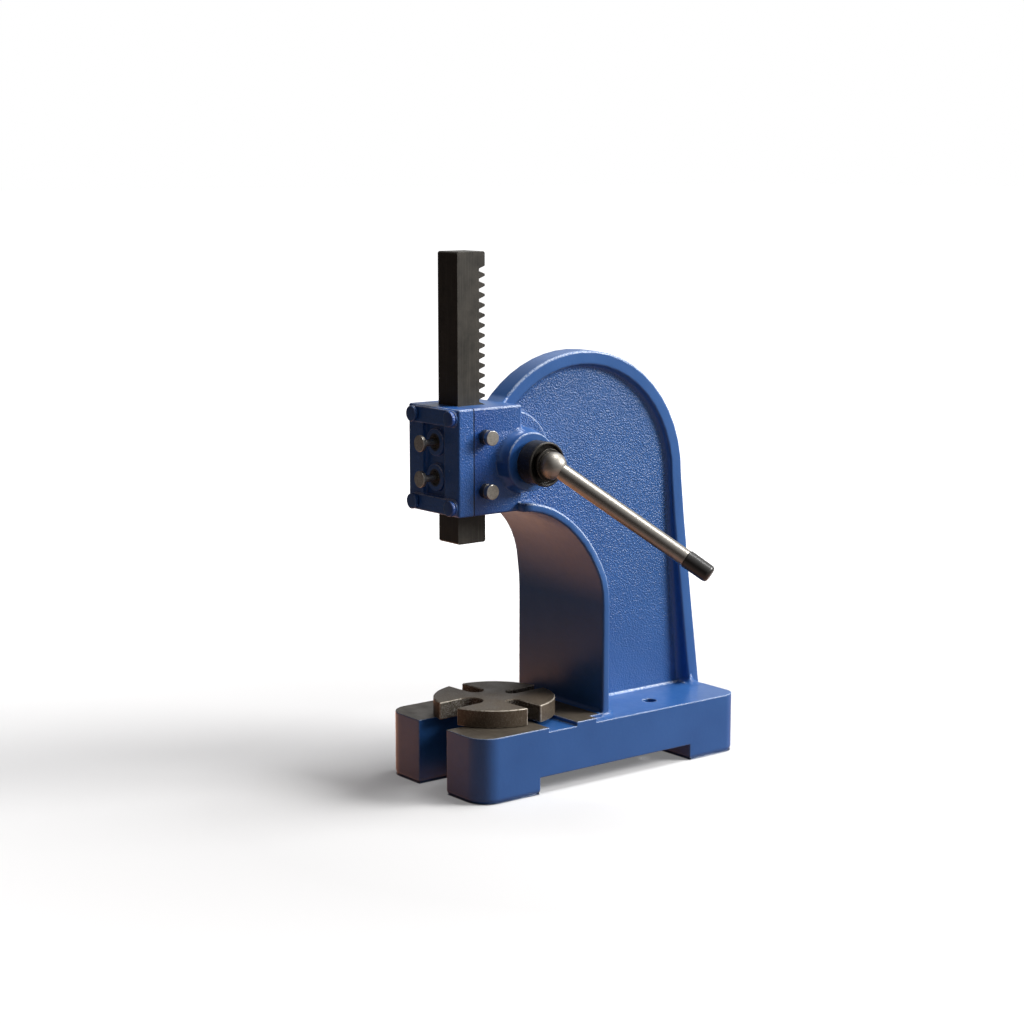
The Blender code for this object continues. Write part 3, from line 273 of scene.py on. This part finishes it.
def enamel(name, deep, light, everywhere=0.0):
    """Gloss blue enamel, hammered where the casting is rough, with painted glints on its hammered peaks and
    painted highlights, partly wear, on its edges.

    With a share given, as on the face plate, it is hammered all over, up to that share on its sides, and has
    painted shade round the front screws; without one, it has painted shade on the head's sides.
    """
    glint_blue = (0.11, 0.20, 0.42)
    shaded_head_blue = (0.003, 0.048, 0.27)
    painted_shade_black = (0.003, 0.004, 0.007)
    wear_and_sheen_blue = (0.46, 0.54, 0.67)
    joint_black = (0.002, 0.004, 0.010)
    soft_scale, pebble_scale, pebble_share = 850, 760, 0.42
    faint_scale, faint_depth = 300, 0.09
    patch_scale, speckle_scale, gloss_scale = 22, 620, 120
    glint_share, joint_depth = 0.3, 0.93
    glossiest, dullest = 0.29, 0.35
    edge_radius, hammer_depth = 1.7 * mm, 0.95 * mm

    item, tree, shader = material(name)
    place = object_place(tree)
    share = rough_cast_share(tree, place)
    if everywhere:
        share = greatest(tree, share, ramp(tree, side_facing(tree), 0, 1, 0.2, everywhere))
    # The hammering is fainter low on the web than at the head
    share = product(tree, share, ramp(tree, split(tree, place)[2], 70 * mm, 230 * mm, 0.45, 1.0))
    soft = mottle(tree, object_place(tree, (1, 0.85, 1.1)), soft_scale)
    grain = blend_value(tree, pebble_share, soft, pebbles(tree, place, pebble_scale))
    faint = product(tree, mottle(tree, place, faint_scale), faint_depth)
    depth = maths(tree, "ADD", product(tree, grain, share), faint)

    patches = ramp(tree, mottle(tree, place, patch_scale, 3.0), 0.3, 0.7)
    colour = blend_colour(tree, patches, deep, light)
    # Painted glints: the tops of the hammered peaks are lightened as if they caught the light
    painted_glints = product(tree, ramp(tree, grain, 0.60, 0.76), share, glint_share)
    colour = blend_colour(tree, painted_glints, colour, glint_blue)
    if everywhere:
        # Painted shade round the front screws' nuts
        colour = blend_colour(tree, screw_shade_share(tree, place), colour, painted_shade_black)
    else:
        # Painted shade on the head's sides, deeper towards the front
        colour = blend_colour(tree, head_shade_share(tree, place), colour, shaded_head_blue)

    # Painted highlight along the edges, stronger where they face up; the marked strips, partly rubbed wear,
    # are lightened the same way
    edge, rounded = edge_wear_and_sheen(tree, edge_radius, place, strength=1.0, least=0.5)
    upwards = split(tree, rounded)[2]
    edge = product(tree, edge, ramp(tree, upwards, 0.1, 0.35, 0.2, 0.9))
    speckles = ramp(tree, mottle(tree, place, speckle_scale, 3.0), 0.34, 0.54)
    wear_and_sheen = product(tree, marked(tree, "wear_and_sheen"), speckles, ramp(tree, upwards, 0.0, 0.35))
    colour = blend_colour(tree, greatest(tree, edge, wear_and_sheen), colour, wear_and_sheen_blue)
    joint = product(tree, joint_share(tree, place), joint_depth)
    colour = blend_colour(tree, joint, colour, joint_black)
    feed(
        tree, shader, Base_Color=colour, Specular_IOR_Level=0.45,
        Roughness=ramp(tree, mottle(tree, place, gloss_scale, 3.0), 0.3, 0.7, glossiest, dullest),
        Normal=bump(tree, depth, 1.0, hammer_depth, rounded),
    )
    return item


def machined_iron():
    """The bare machined pads on the base: grey-brown with fine cutter marks."""
    clean, stained = (0.104, 0.086, 0.064), (0.060, 0.049, 0.037)
    cut, worn = (0.17, 0.155, 0.13), (0.42, 0.40, 0.36)
    across_base = (0.04, 1, 1)
    mark_scale, stain_scale = 1500, 55
    glossiest, dullest = 0.42, 0.58
    edge_radius, mark_depth = 0.7 * mm, 0.1 * mm

    item, tree, shader = material("machined_iron")
    place = object_place(tree)
    marks = mottle(tree, object_place(tree, across_base), mark_scale, 3.0)
    stain = ramp(tree, mottle(tree, place, stain_scale, 4.0), 0.35, 0.7)
    colour = blend_colour(tree, stain, clean, stained)
    colour = blend_colour(tree, ramp(tree, marks, 0.4, 0.75, 0, 0.3), colour, cut)
    edge, rounded = edge_wear_and_sheen(tree, edge_radius, place, strength=0.9)
    colour = blend_colour(tree, edge, colour, worn)
    feed(
        tree, shader, Base_Color=colour, Metallic=0.35, Specular_IOR_Level=0.3,
        Roughness=ramp(tree, stain, 0, 1, glossiest, dullest),
        Normal=bump(tree, marks, 0.25, mark_depth, rounded),
    )
    return item


def blackened(name, deep, light, worn, stretch, edge_radius, edge_share, metal, gloss):
    """Blackened steel or iron with ground lines, lighter worn edges, and painted shade with pale grains where
    it is marked.
    """
    slot_shade_dark, grain_pale = (0.022, 0.019, 0.016), (0.26, 0.245, 0.22)
    line_scale, cloud_scale, grain_scale, wear_scale = 1100, 70, 1000, 420
    slot_shade_share = 0.5
    line_depth = 0.08 * mm
    glossiest, dullest = gloss

    item, tree, shader = material(name)
    place = object_place(tree)
    lines = mottle(tree, object_place(tree, stretch), line_scale, 3.0, 0.6)
    clouds = mottle(tree, place, cloud_scale, 4.0, 0.6)
    colour = blend_colour(tree, ramp(tree, clouds, 0.32, 0.7), deep, light)
    colour = blend_colour(tree, ramp(tree, lines, 0.5, 0.85, 0, 0.35), colour, worn)
    grains_and_shade = marked(tree, "grains_and_shade")
    pale_grains = ramp(tree, mottle(tree, place, grain_scale), 0.48, 0.64, 0, 0.75)
    # Painted shade: the marked slot walls are darkened by half, with pale grains over them
    colour = blend_colour(tree, product(tree, grains_and_shade, slot_shade_share), colour, slot_shade_dark)
    colour = blend_colour(tree, product(tree, grains_and_shade, pale_grains), colour, grain_pale)
    edge, rounded = edge_wear_and_sheen(tree, edge_radius, place, edge_share)
    wear = ramp(tree, mottle(tree, place, wear_scale, 3.0), 0.30, 0.56, 0.15, 1.0)
    wear_and_sheen = product(tree, marked(tree, "wear_and_sheen"), wear)
    colour = blend_colour(tree, greatest(tree, edge, wear_and_sheen), colour, worn)
    feed(
        tree, shader, Base_Color=colour, Metallic=metal, Specular_IOR_Level=0.3,
        Roughness=ramp(tree, clouds, 0.3, 0.7, glossiest, dullest),
        Normal=bump(tree, lines, 0.12, line_depth, rounded),
    )
    return item


def turned_steel(name, bright, dark, gloss, speckle=0.0):
    """Turned or ground metal with slight staining, and dark speckles where asked."""
    worn = (0.62, 0.60, 0.55)
    fine_scale, stain_scale = 1400, 260
    edge_radius, fine_depth = 0.35 * mm, 0.06 * mm
    glossiest, dullest = gloss

    item, tree, shader = material(name)
    place = object_place(tree)
    fine = mottle(tree, place, fine_scale, 3.0, 0.6)
    stains = mottle(tree, place, stain_scale, 4.0, 0.65)
    colour = blend_colour(tree, ramp(tree, stains, 0.42, 0.72, 0, 0.55), bright, dark)
    if speckle:
        colour = blend_colour(tree, ramp(tree, fine, 0.5, 0.62, 0, speckle), colour, dark)
    edge, rounded = edge_wear_and_sheen(tree, edge_radius, place, strength=0.8, least=0.6)
    colour = blend_colour(tree, edge, colour, worn)
    feed(
        tree, shader, Base_Color=colour, Metallic=1.0,
        Roughness=ramp(tree, stains, 0.3, 0.7, glossiest, dullest),
        Normal=bump(tree, fine, 0.12, fine_depth, rounded),
    )
    return item


def black_cap():
    """The moulded cap on the lever's end."""
    deep, light, worn = (0.010, 0.009, 0.008), (0.020, 0.018, 0.016), (0.12, 0.115, 0.105)
    patch_scale, grain_scale = 90, 1300
    edge_radius, grain_depth = 0.8 * mm, 0.1 * mm

    item, tree, shader = material("black_cap")
    place = object_place(tree)
    grain = mottle(tree, place, grain_scale, 3.0)
    patches = ramp(tree, mottle(tree, place, patch_scale, 3.0), 0.3, 0.7)
    edge, rounded = edge_wear_and_sheen(tree, edge_radius, place, strength=0.35)
    colour = blend_colour(tree, edge, blend_colour(tree, patches, deep, light), worn)
    feed(
        tree, shader, Base_Color=colour, Roughness=0.30, Specular_IOR_Level=0.5,
        Normal=bump(tree, grain, 0.15, grain_depth, rounded),
    )
    return item


# Shapes


def object_from(shape, name, body, materials, nodes, crease=32):
    """Make a finished shape the piece that stands for CAD nodes and rides on their body."""
    mesh = bpy.data.meshes.new(name)
    shape.to_mesh(mesh)
    shape.free()
    for item in materials:
        mesh.materials.append(item)
    mesh.shade_smooth()
    mesh.set_sharp_from_angle(angle=math.radians(crease))
    piece = bpy.data.objects.new(name, mesh)
    bpy.context.scene.collection.objects.link(piece)
    weighted = piece.modifiers.new("face weighted shading", "WEIGHTED_NORMAL")
    weighted.keep_sharp = True
    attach(piece, body)
    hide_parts(*nodes)


def merged(name):
    """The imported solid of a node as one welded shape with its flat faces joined."""
    shape = bmesh.new()
    shape.from_mesh(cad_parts[name].data)
    bmesh.ops.remove_doubles(shape, verts=shape.verts, dist=0.01 * mm)
    bmesh.ops.dissolve_limit(shape, angle_limit=math.radians(0.3), verts=shape.verts, edges=shape.edges)
    return shape


def mark_wear_and_sheen(shape, widest=1.5, share=0.62, foot_sheen_share=0.8):
    """Mark the narrow faces round outer edges, where the paint is rubbed light and takes a painted highlight,
    and the fillets at the column's foot, which take a painted highlight.
    """
    least_bend = math.radians(12)
    foot_top = (pad_top + 5) * mm
    web_end = spot(0, web_rear_y, 0).y
    layer = shape.faces.layers.float.new("wear_and_sheen")
    for face in shape.faces:
        around = sum(edge.calc_length() for edge in face.edges)
        width = 2 * face.calc_area() / around / mm
        bends = [edge for edge in face.edges if edge.is_manifold and edge.calc_face_angle(0) > least_bend]
        if width < widest and bends and all(edge.is_convex for edge in bends):
            face[layer] = share
            continue
        middle = face.calc_center_median()
        at_foot = middle.z < foot_top and middle.y < web_end
        at_foot = at_foot and not any(edge.is_convex for edge in bends[:2])
        fillet_strip = 0.6 < face.normal.z < 0.8 and width < 2.4
        flat_strip = face.normal.z > 0.9 and 3.0 < width < 4.0
        # The fillets at the column's foot get a painted highlight
        if at_foot and fillet_strip:
            face[layer] = foot_sheen_share
        elif at_foot and flat_strip:
            face[layer] = 0.5 * foot_sheen_share


def round_soles(shape, radius=4.0, deepest=2.0):
    """Draw the feet's sides in towards the bench, so that their lower edges are rounded."""
    levels = (0.35, 0.9, 1.8, 2.8, radius)
    for height in levels:
        bmesh.ops.bisect_plane(
            shape, geom=shape.verts[:] + shape.edges[:] + shape.faces[:], dist=0.0005 * mm,
            plane_co=(0, 0, height * mm), plane_no=(0, 0, 1),
        )
    moves = []
    for vert in shape.verts:
        height = vert.co.z / mm
        sides = [face.normal for face in vert.link_faces if abs(face.normal.z) < 0.3]
        if sides and height < radius - 0.1:
            outwards = sum(sides, Vector()).normalized()
            draw = min(radius - math.sqrt(radius**2 - (radius - height)**2), deepest)
            moves.append((vert, outwards * (-draw * mm / max(outwards.dot(sides[0]), 0.5))))
    for vert, move in moves:
        vert.co += move


def soften(shape, width, segments=3, least=math.radians(30)):
    """Round every edge that is sharper than an angle, by a width in millimetres."""
    sharp = [edge for edge in shape.edges if edge.is_manifold and edge.calc_face_angle(0) > least]
    bmesh.ops.bevel(
        shape, geom=sharp, offset=width * mm, segments=segments, profile=0.5, affect="EDGES",
        material=-1, clamp_overlap=True,
    )


def lay_along(shape, start, direction):
    """Turn a shape from its own Z axis to a direction and move its zero point to a start."""
    turn = Vector(direction).to_track_quat("Z", "Y").to_matrix().to_4x4()
    bmesh.ops.transform(shape, matrix=Matrix.Translation(start) @ turn, verts=shape.verts)


def spun(outline, start, direction, width, steps=96, closed=False):
    """A solid of revolution from (height, radius) points in millimetres, its sharp rings rounded."""
    shape = bmesh.new()
    points = [shape.verts.new((radius * mm, 0, height * mm)) for height, radius in outline]
    for first, second in zip(points, points[1:]):
        shape.edges.new((first, second))
    if closed:
        shape.edges.new((points[-1], points[0]))
    bmesh.ops.spin(
        shape, geom=shape.verts[:] + shape.edges[:], cent=(0, 0, 0), axis=(0, 0, 1), dvec=(0, 0, 0),
        angle=2 * math.pi, steps=steps, use_merge=True, use_duplicate=False,
    )
    bmesh.ops.remove_doubles(shape, verts=shape.verts, dist=0.001 * mm)
    bmesh.ops.recalc_face_normals(shape, faces=shape.faces)
    soften(shape, width)
    lay_along(shape, start, direction)
    return shape


def bow(middle, radius, start, end, steps):
    """(height, radius) points of an arc round a (height, radius) middle, angles in degrees from the axis."""
    points = []
    for step in range(steps + 1):
        angle = math.radians(start + (end - start) * step / steps)
        points.append((middle[0] + radius * math.cos(angle), middle[1] + radius * math.sin(angle)))
    return points


# Pieces


def show_casting(paint, pads):
    """The cast frame, painted, with its flat pads left bare."""
    shape = merged("frame_casting")
    mark_wear_and_sheen(shape)
    round_soles(shape)
    for face in shape.faces:
        height = face.calc_center_median().z / mm
        face.material_index = int(face.normal.z > 0.99 and abs(height - pad_top) < 0.1)
    object_from(shape, "cast_frame", "frame", [paint, pads], ["frame_casting"], crease=50)


def show_plate(paint):
    shape = merged("face_plate")
    mark_wear_and_sheen(shape)
    object_from(shape, "front_plate", "frame", [paint], ["face_plate"], crease=50)


def show_plate_screws(paint):
    """The four painted screws in the face plate's bars: a flat round head on a shank."""
    head_top, head_radius, head_back = 3.3, 6.2, 0.02
    shank_radius, shank_end = 3.7, -30
    seat_y = bar_front_y - 0.3
    for level, z in zip(("upper", "lower"), plate_screw_levels):
        for side, x in zip(("left", "right"), plate_screw_sides):
            outline = [
                (head_top, 0), (head_top, head_radius), (head_back, head_radius),
                (head_back, shank_radius), (shank_end, shank_radius), (shank_end, 0),
            ]
            shape = spun(outline, spot(x, seat_y, z), front, width=0.7)
            name = "plate_screw_" + level + "_" + side
            object_from(shape, "painted_" + name, "frame", [paint], [name])


def show_front_screws(steel, nut_black):
    """The two front gib screws, each a thin knob, a neck and a shank, with its lock nut."""
    for level, z in zip(("upper", "lower"), front_screw_levels):
        knob = [(0, 0), (0, 6.5), (-3, 6.5)]
        neck = [(-3, 2.2), (-6.4, 2.2)]
        shank = [(-8.4, 2.8), (-22.8, 2.8), (-22.8, 0)]
        shape = spun(knob + neck + shank, spot(0, front_screw_end_y, z), front, width=0.35)
        name = "thumb_screw_front_" + level
        object_from(shape, name, "frame", [steel], ["front_screw_" + level])
        nut_node = "front_lock_nut_" + level
        nut = merged(nut_node)
        soften(nut, width=0.25)
        object_from(nut, "jam_nut_front_" + level, "frame", [nut_black], [nut_node])


def show_side_screws(steel, nut_steel):
    """The two side gib screws, each a knob and a shank, with its round lock nut."""
    for level, z in zip(("upper", "lower"), side_screw_levels):
        knob = [(0, 0), (0, 5.9), (-4.6, 5.9)]
        shank = [(-4.6, 2.8), (-25.6, 2.8), (-25.6, 0)]
        shape = spun(knob + shank, spot(side_screw_end_x, side_screw_y, z), right, width=0.4)
        name = "thumb_screw_side_" + level
        object_from(shape, name, "frame", [steel], ["side_screw_" + level])
        nut = [(0, 3.1), (5.4, 3.1), (5.4, 5.9), (0, 5.9)]
        shape = spun(nut, spot(side_nut_x, side_screw_y, z), right, width=0.4, closed=True)
        name = "jam_nut_side_" + level
        object_from(shape, name, "frame", [nut_steel], ["side_lock_nut_" + level])


def show_ram(black):
    shape = merged("ram")
    soften(shape, width=0.25)
    object_from(shape, "square_ram", "ram", [black], ["ram"])


def show_shaft(steel, black):
    """The cross shaft and the collar that keeps its left end."""
    shape = merged("pinion_shaft")
    object_from(shape, "cross_shaft", "pinion", [steel], ["pinion_shaft"], crease=20)
    ring = [(0, 10.3), (0, 17), (12, 17), (12, 10.3)]
    shape = spun(ring, spot(-housing_end_x, shaft_y, shaft_z), left, width=1.0, closed=True)
    object_from(shape, "stop_collar", "pinion", [black], ["retaining_collar"])


def show_lever(black, steel, ball_steel, cap):
    """The hub collar with its rolled rim, the ball with its black flange, the rod and its cap."""
    hub = spot(housing_end_x, shaft_y, shaft_z)
    collar = [(0, 10.3), (0, 13.0), (3.2, 13.0), (3.2, 17.7), (18.0, 17.7)]
    rolled_rim = bow(middle=(18.0, 16.5), radius=1.2, start=90, end=-90, steps=8)
    collar += rolled_rim[1:-1]
    collar += [(18.0, 15.3), (15.0, 15.3), (15.0, 10.3)]
    shape = spun(collar, hub, right, width=0.5, closed=True)
    object_from(shape, "hub_collar", "pinion", [black], ["lever_collar"])
    stub = [(10.7, 0), (10.7, 9.7), (20.0, 9.7)]
    flange = [(20.0, 12.7), (22.0, 12.7), (22.0, 10.0)]
    ball = bow(middle=(26.0, 0), radius=10.8, start=111, end=0, steps=28)
    shape = spun(stub + flange + ball, hub, right, width=0.4)
    flange_end = spot(hub_flange_end_x, 0, 0).x
    for face in shape.faces:
        face.material_index = int(face.calc_center_median().x < flange_end)
    object_from(shape, "hub_ball", "pinion", [ball_steel, black], ["lever_ball"])
    centre = spot(ball_x, shaft_y, shaft_z)
    rod = [(6.3, 0), (6.3, 6.8), (125.8, 6.6), (125.8, 4.0), (139.8, 4.0), (139.8, 0)]
    shape = spun(rod, centre, lever_direction, width=0.25)
    object_from(shape, "pull_rod", "pinion", [steel], ["lever_rod"])
    knob = [(126.1, 0), (126.1, 7.2)]
    knob += bow(middle=(145.4, 4.0), radius=3.0, start=90, end=0, steps=8)
    knob += [(148.4, 0)]
    shape = spun(knob, centre, lever_direction, width=0.3)
    object_from(shape, "rod_cap", "pinion", [cap], ["lever_cap"])


def show_anvil(black):
    """The slotted anvil plate, with painted shade and pale grains on its slots' walls."""
    shape = merged("anvil_plate")
    mark_wear_and_sheen(shape, widest=1.3, share=0.75)
    slot_wall_layer = shape.faces.layers.float.new("grains_and_shade")
    for face in shape.faces:
        middle = face.calc_center_median() - spot(0, anvil_y, 0)
        if abs(face.normal.z) < 0.2 and math.hypot(middle.x, middle.y) < anvil_slot_radius * mm:
            face[slot_wall_layer] = 1.0
    object_from(shape, "slotted_anvil", "anvil", [black], ["anvil_plate"])


def dress_inner_nodes(looks):
    """Give the CAD nodes that stay their materials."""
    for names, look in looks:
        for name in names:
            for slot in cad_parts[name].material_slots:
                slot.material = look


# Floor, light and camera


def mirror_rays(tree):
    """1 for what gloss and glass see, and the node that tells the kinds of ray."""
    path = node(tree, "LightPath")
    return greatest(tree, path.outputs["Is Glossy Ray"], path.outputs["Is Transmission Ray"]), path


def add_floor():
    """Pale floor that keeps the press's shadow, grows whiter away from it and looks dim and warm in gloss."""
    grey_glow, dark_glow = (0.28, 0.27, 0.26), (0.07, 0.058, 0.054)
    brown_glow, ember_glow = (0.40, 0.20, 0.15), (1.25, 0.54, 0.24)
    seen_grey, bounced_grey = (0.62, 0.62, 0.62), (0.145, 0.135, 0.13)
    front_left, left_side = (-0.45, -0.88, 0), (-0.9, -0.3, 0)
    half_width, drop = 30, 0.0004

    shape = bmesh.new()
    bmesh.ops.create_grid(shape, x_segments=1, y_segments=1, size=half_width)
    mesh = bpy.data.meshes.new("studio_floor")
    shape.to_mesh(mesh)
    shape.free()
    item, tree, shader = material("pale_floor")
    tree.nodes.remove(shader)
    place = object_place(tree)
    away = node(tree, "VectorMath", {"operation": "LENGTH"}, i0=place).outputs["Value"]
    mirrored, path = mirror_rays(tree)
    seen = path.outputs["Is Camera Ray"]
    dim = ramp(tree, along(tree, place, front_left), -0.1, 0.5)
    glow = blend_colour(tree, dim, grey_glow, dark_glow)
    towards_left = ramp(tree, along(tree, place, left_side), 0.05, 0.3)
    near_glow = blend_colour(tree, towards_left, brown_glow, ember_glow)
    glow = blend_colour(tree, ramp(tree, away, 0.55, 0.3), glow, near_glow)
    glow = blend_colour(tree, mirrored, (0, 0, 0), glow)
    glow = blend_colour(tree, seen, glow, (1, 1, 1))
    white = ramp(tree, away, 0.32, 1.5, 0.17, 1.0)
    strength = maths(tree, "ADD", product(tree, seen, white), mirrored)
    shine = node(tree, "Emission", Color=glow, Strength=strength).outputs[0]
    shade = blend_colour(tree, seen, bounced_grey, seen_grey)
    matt = node(tree, "BsdfDiffuse", Color=shade).outputs[0]
    both = node(tree, "AddShader", i0=shine, i1=matt).outputs[0]
    tree.links.new(both, tree.nodes["Material Output"].inputs[0])
    mesh.materials.append(item)
    floor = bpy.data.objects.new("studio_floor", mesh)
    floor.location = (0, 0, -drop)
    bpy.context.scene.collection.objects.link(floor)


def add_world():
    """White studio, dimmer and warmer towards the front left, as the gloss on the press shows it."""
    low_grey, high_white, dark_room = (0.31, 0.32, 0.34), (1, 1, 1), (0.065, 0.052, 0.05)
    light_grey, light_warm = (0.24, 0.24, 0.25), (0.05, 0.03, 0.025)
    front_left = (-0.45, -0.88, 0.1)

    world = bpy.data.worlds.new("studio")
    world.use_nodes = True
    tree = world.node_tree
    mirrored, path = mirror_rays(tree)
    outwards = node(tree, "TexCoord").outputs["Generated"]
    dim = ramp(tree, along(tree, outwards, front_left), -0.1, 0.5)
    shown = blend_colour(tree, ramp(tree, split(tree, outwards)[2], 0.05, 0.45), low_grey, high_white)
    shown = blend_colour(tree, dim, shown, dark_room)
    lit = blend_colour(tree, dim, light_grey, light_warm)
    colour = blend_colour(tree, mirrored, lit, shown)
    colour = blend_colour(tree, path.outputs["Is Camera Ray"], colour, (1, 1, 1))
    feed(tree, tree.nodes["Background"], Color=colour, Strength=1)
    bpy.context.scene.world = world


def add_lamp(name, place, aim, size, power, colour):
    data = bpy.data.lights.new(name, "AREA")
    data.shape = "DISK"
    data.size = size
    data.energy = power
    data.color = colour
    lamp = bpy.data.objects.new(name, data)
    lamp.location = place
    lamp.rotation_euler = (Vector(aim) - Vector(place)).to_track_quat("-Z", "Y").to_euler()
    bpy.context.scene.collection.objects.link(lamp)


def add_camera():
    """The camera that was fitted to the photo's outline and edges."""
    tilt_down, turn = 9.31, 51.94
    data = bpy.data.cameras.new("photo_camera")
    data.lens = 75.72
    data.sensor_width = 36
    data.clip_end = 100
    camera = bpy.data.objects.new("photo_camera", data)
    camera.location = spot(1351.07, -1006.88, 498.16)
    camera.rotation_euler = (math.radians(90 - tilt_down), 0, math.radians(turn))
    bpy.context.scene.collection.objects.link(camera)
    bpy.context.scene.camera = camera


casting_enamel = enamel("casting_enamel", (0.023, 0.094, 0.285), (0.030, 0.111, 0.325))
plate_enamel = enamel("plate_enamel", (0.021, 0.096, 0.33), (0.027, 0.110, 0.37), everywhere=0.38)
screw_enamel = enamel("screw_enamel", (0.027, 0.093, 0.28), (0.034, 0.108, 0.315))
pad_iron = machined_iron()
# Deep, light and worn colours
ram_black = blackened(
    "blackened_ram", (0.022, 0.020, 0.016), (0.044, 0.039, 0.031), (0.13, 0.12, 0.10),
    stretch=(1, 1, 0.02), edge_radius=0.4 * mm, edge_share=0.6, metal=0.2, gloss=(0.42, 0.55),
)
anvil_black = blackened(
    "blackened_anvil", (0.072, 0.055, 0.037), (0.110, 0.085, 0.058), (0.56, 0.51, 0.43),
    stretch=(1, 1, 1), edge_radius=0.4 * mm, edge_share=0.9, metal=0.3, gloss=(0.42, 0.6),
)
collar_black = blackened(
    "blackened_collar", (0.012, 0.012, 0.011), (0.022, 0.020, 0.018), (0.26, 0.22, 0.165),
    stretch=(1, 1, 1), edge_radius=0.5 * mm, edge_share=0.7, metal=0.3, gloss=(0.3, 0.4),
)
# Bright and stained colours, the range of roughness and the share of speckles
lever_steel = turned_steel("satin_lever_steel", (0.265, 0.25, 0.226), (0.18, 0.166, 0.146), (0.32, 0.38))
ball_steel = turned_steel("satin_ball_steel", (0.28, 0.265, 0.24), (0.17, 0.155, 0.135), (0.42, 0.50))
screw_steel = turned_steel(
    "turned_screw_steel", (0.43, 0.41, 0.37), (0.14, 0.13, 0.11), (0.28, 0.4), speckle=0.5,
)
nut_steel = turned_steel(
    "stained_nut_steel", (0.16, 0.15, 0.13), (0.04, 0.037, 0.03), (0.3, 0.42), speckle=0.6,
)
inner_steel = turned_steel("machined_steel", (0.36, 0.36, 0.36), (0.22, 0.21, 0.20), (0.3, 0.45))
bush_bronze = turned_steel("bush_bronze", (0.50, 0.33, 0.15), (0.30, 0.19, 0.09), (0.3, 0.45))
cap_black = black_cap()

show_casting(casting_enamel, pad_iron)
show_plate(plate_enamel)
show_plate_screws(screw_enamel)
show_front_screws(screw_steel, collar_black)
show_side_screws(screw_steel, nut_steel)
show_ram(ram_black)
show_shaft(inner_steel, collar_black)
show_lever(collar_black, lever_steel, ball_steel, cap_black)
show_anvil(anvil_black)
dress_inner_nodes([
    (["front_gib", "side_gib", "bush_right", "bush_left"], bush_bronze),
    (["pinion_gear", "pinion_key", "anvil_pin"], inner_steel),
    (["retaining_screw", "collar_screw", "ball_screw"], collar_black),
])
add_floor()
add_world()
# Lamps in metres and watts: the main light comes from behind on the right
add_lamp("key_lamp", (1.6, 2.0, 1.5), aim=(0, 0, 0.18), size=1.2, power=104, colour=(1, 0.99, 0.98))
add_lamp("top_lamp", (0.3, 0.7, 2.4), aim=(0, 0, 0.2), size=1.1, power=48, colour=(1, 1, 1))
add_lamp("front_lamp", (-0.6, -2.4, 0.7), aim=(0, 0, 0.2), size=1.2, power=1.0, colour=(1, 0.6, 0.4))
add_camera()

bpy.context.scene.view_settings.view_transform = "Standard"
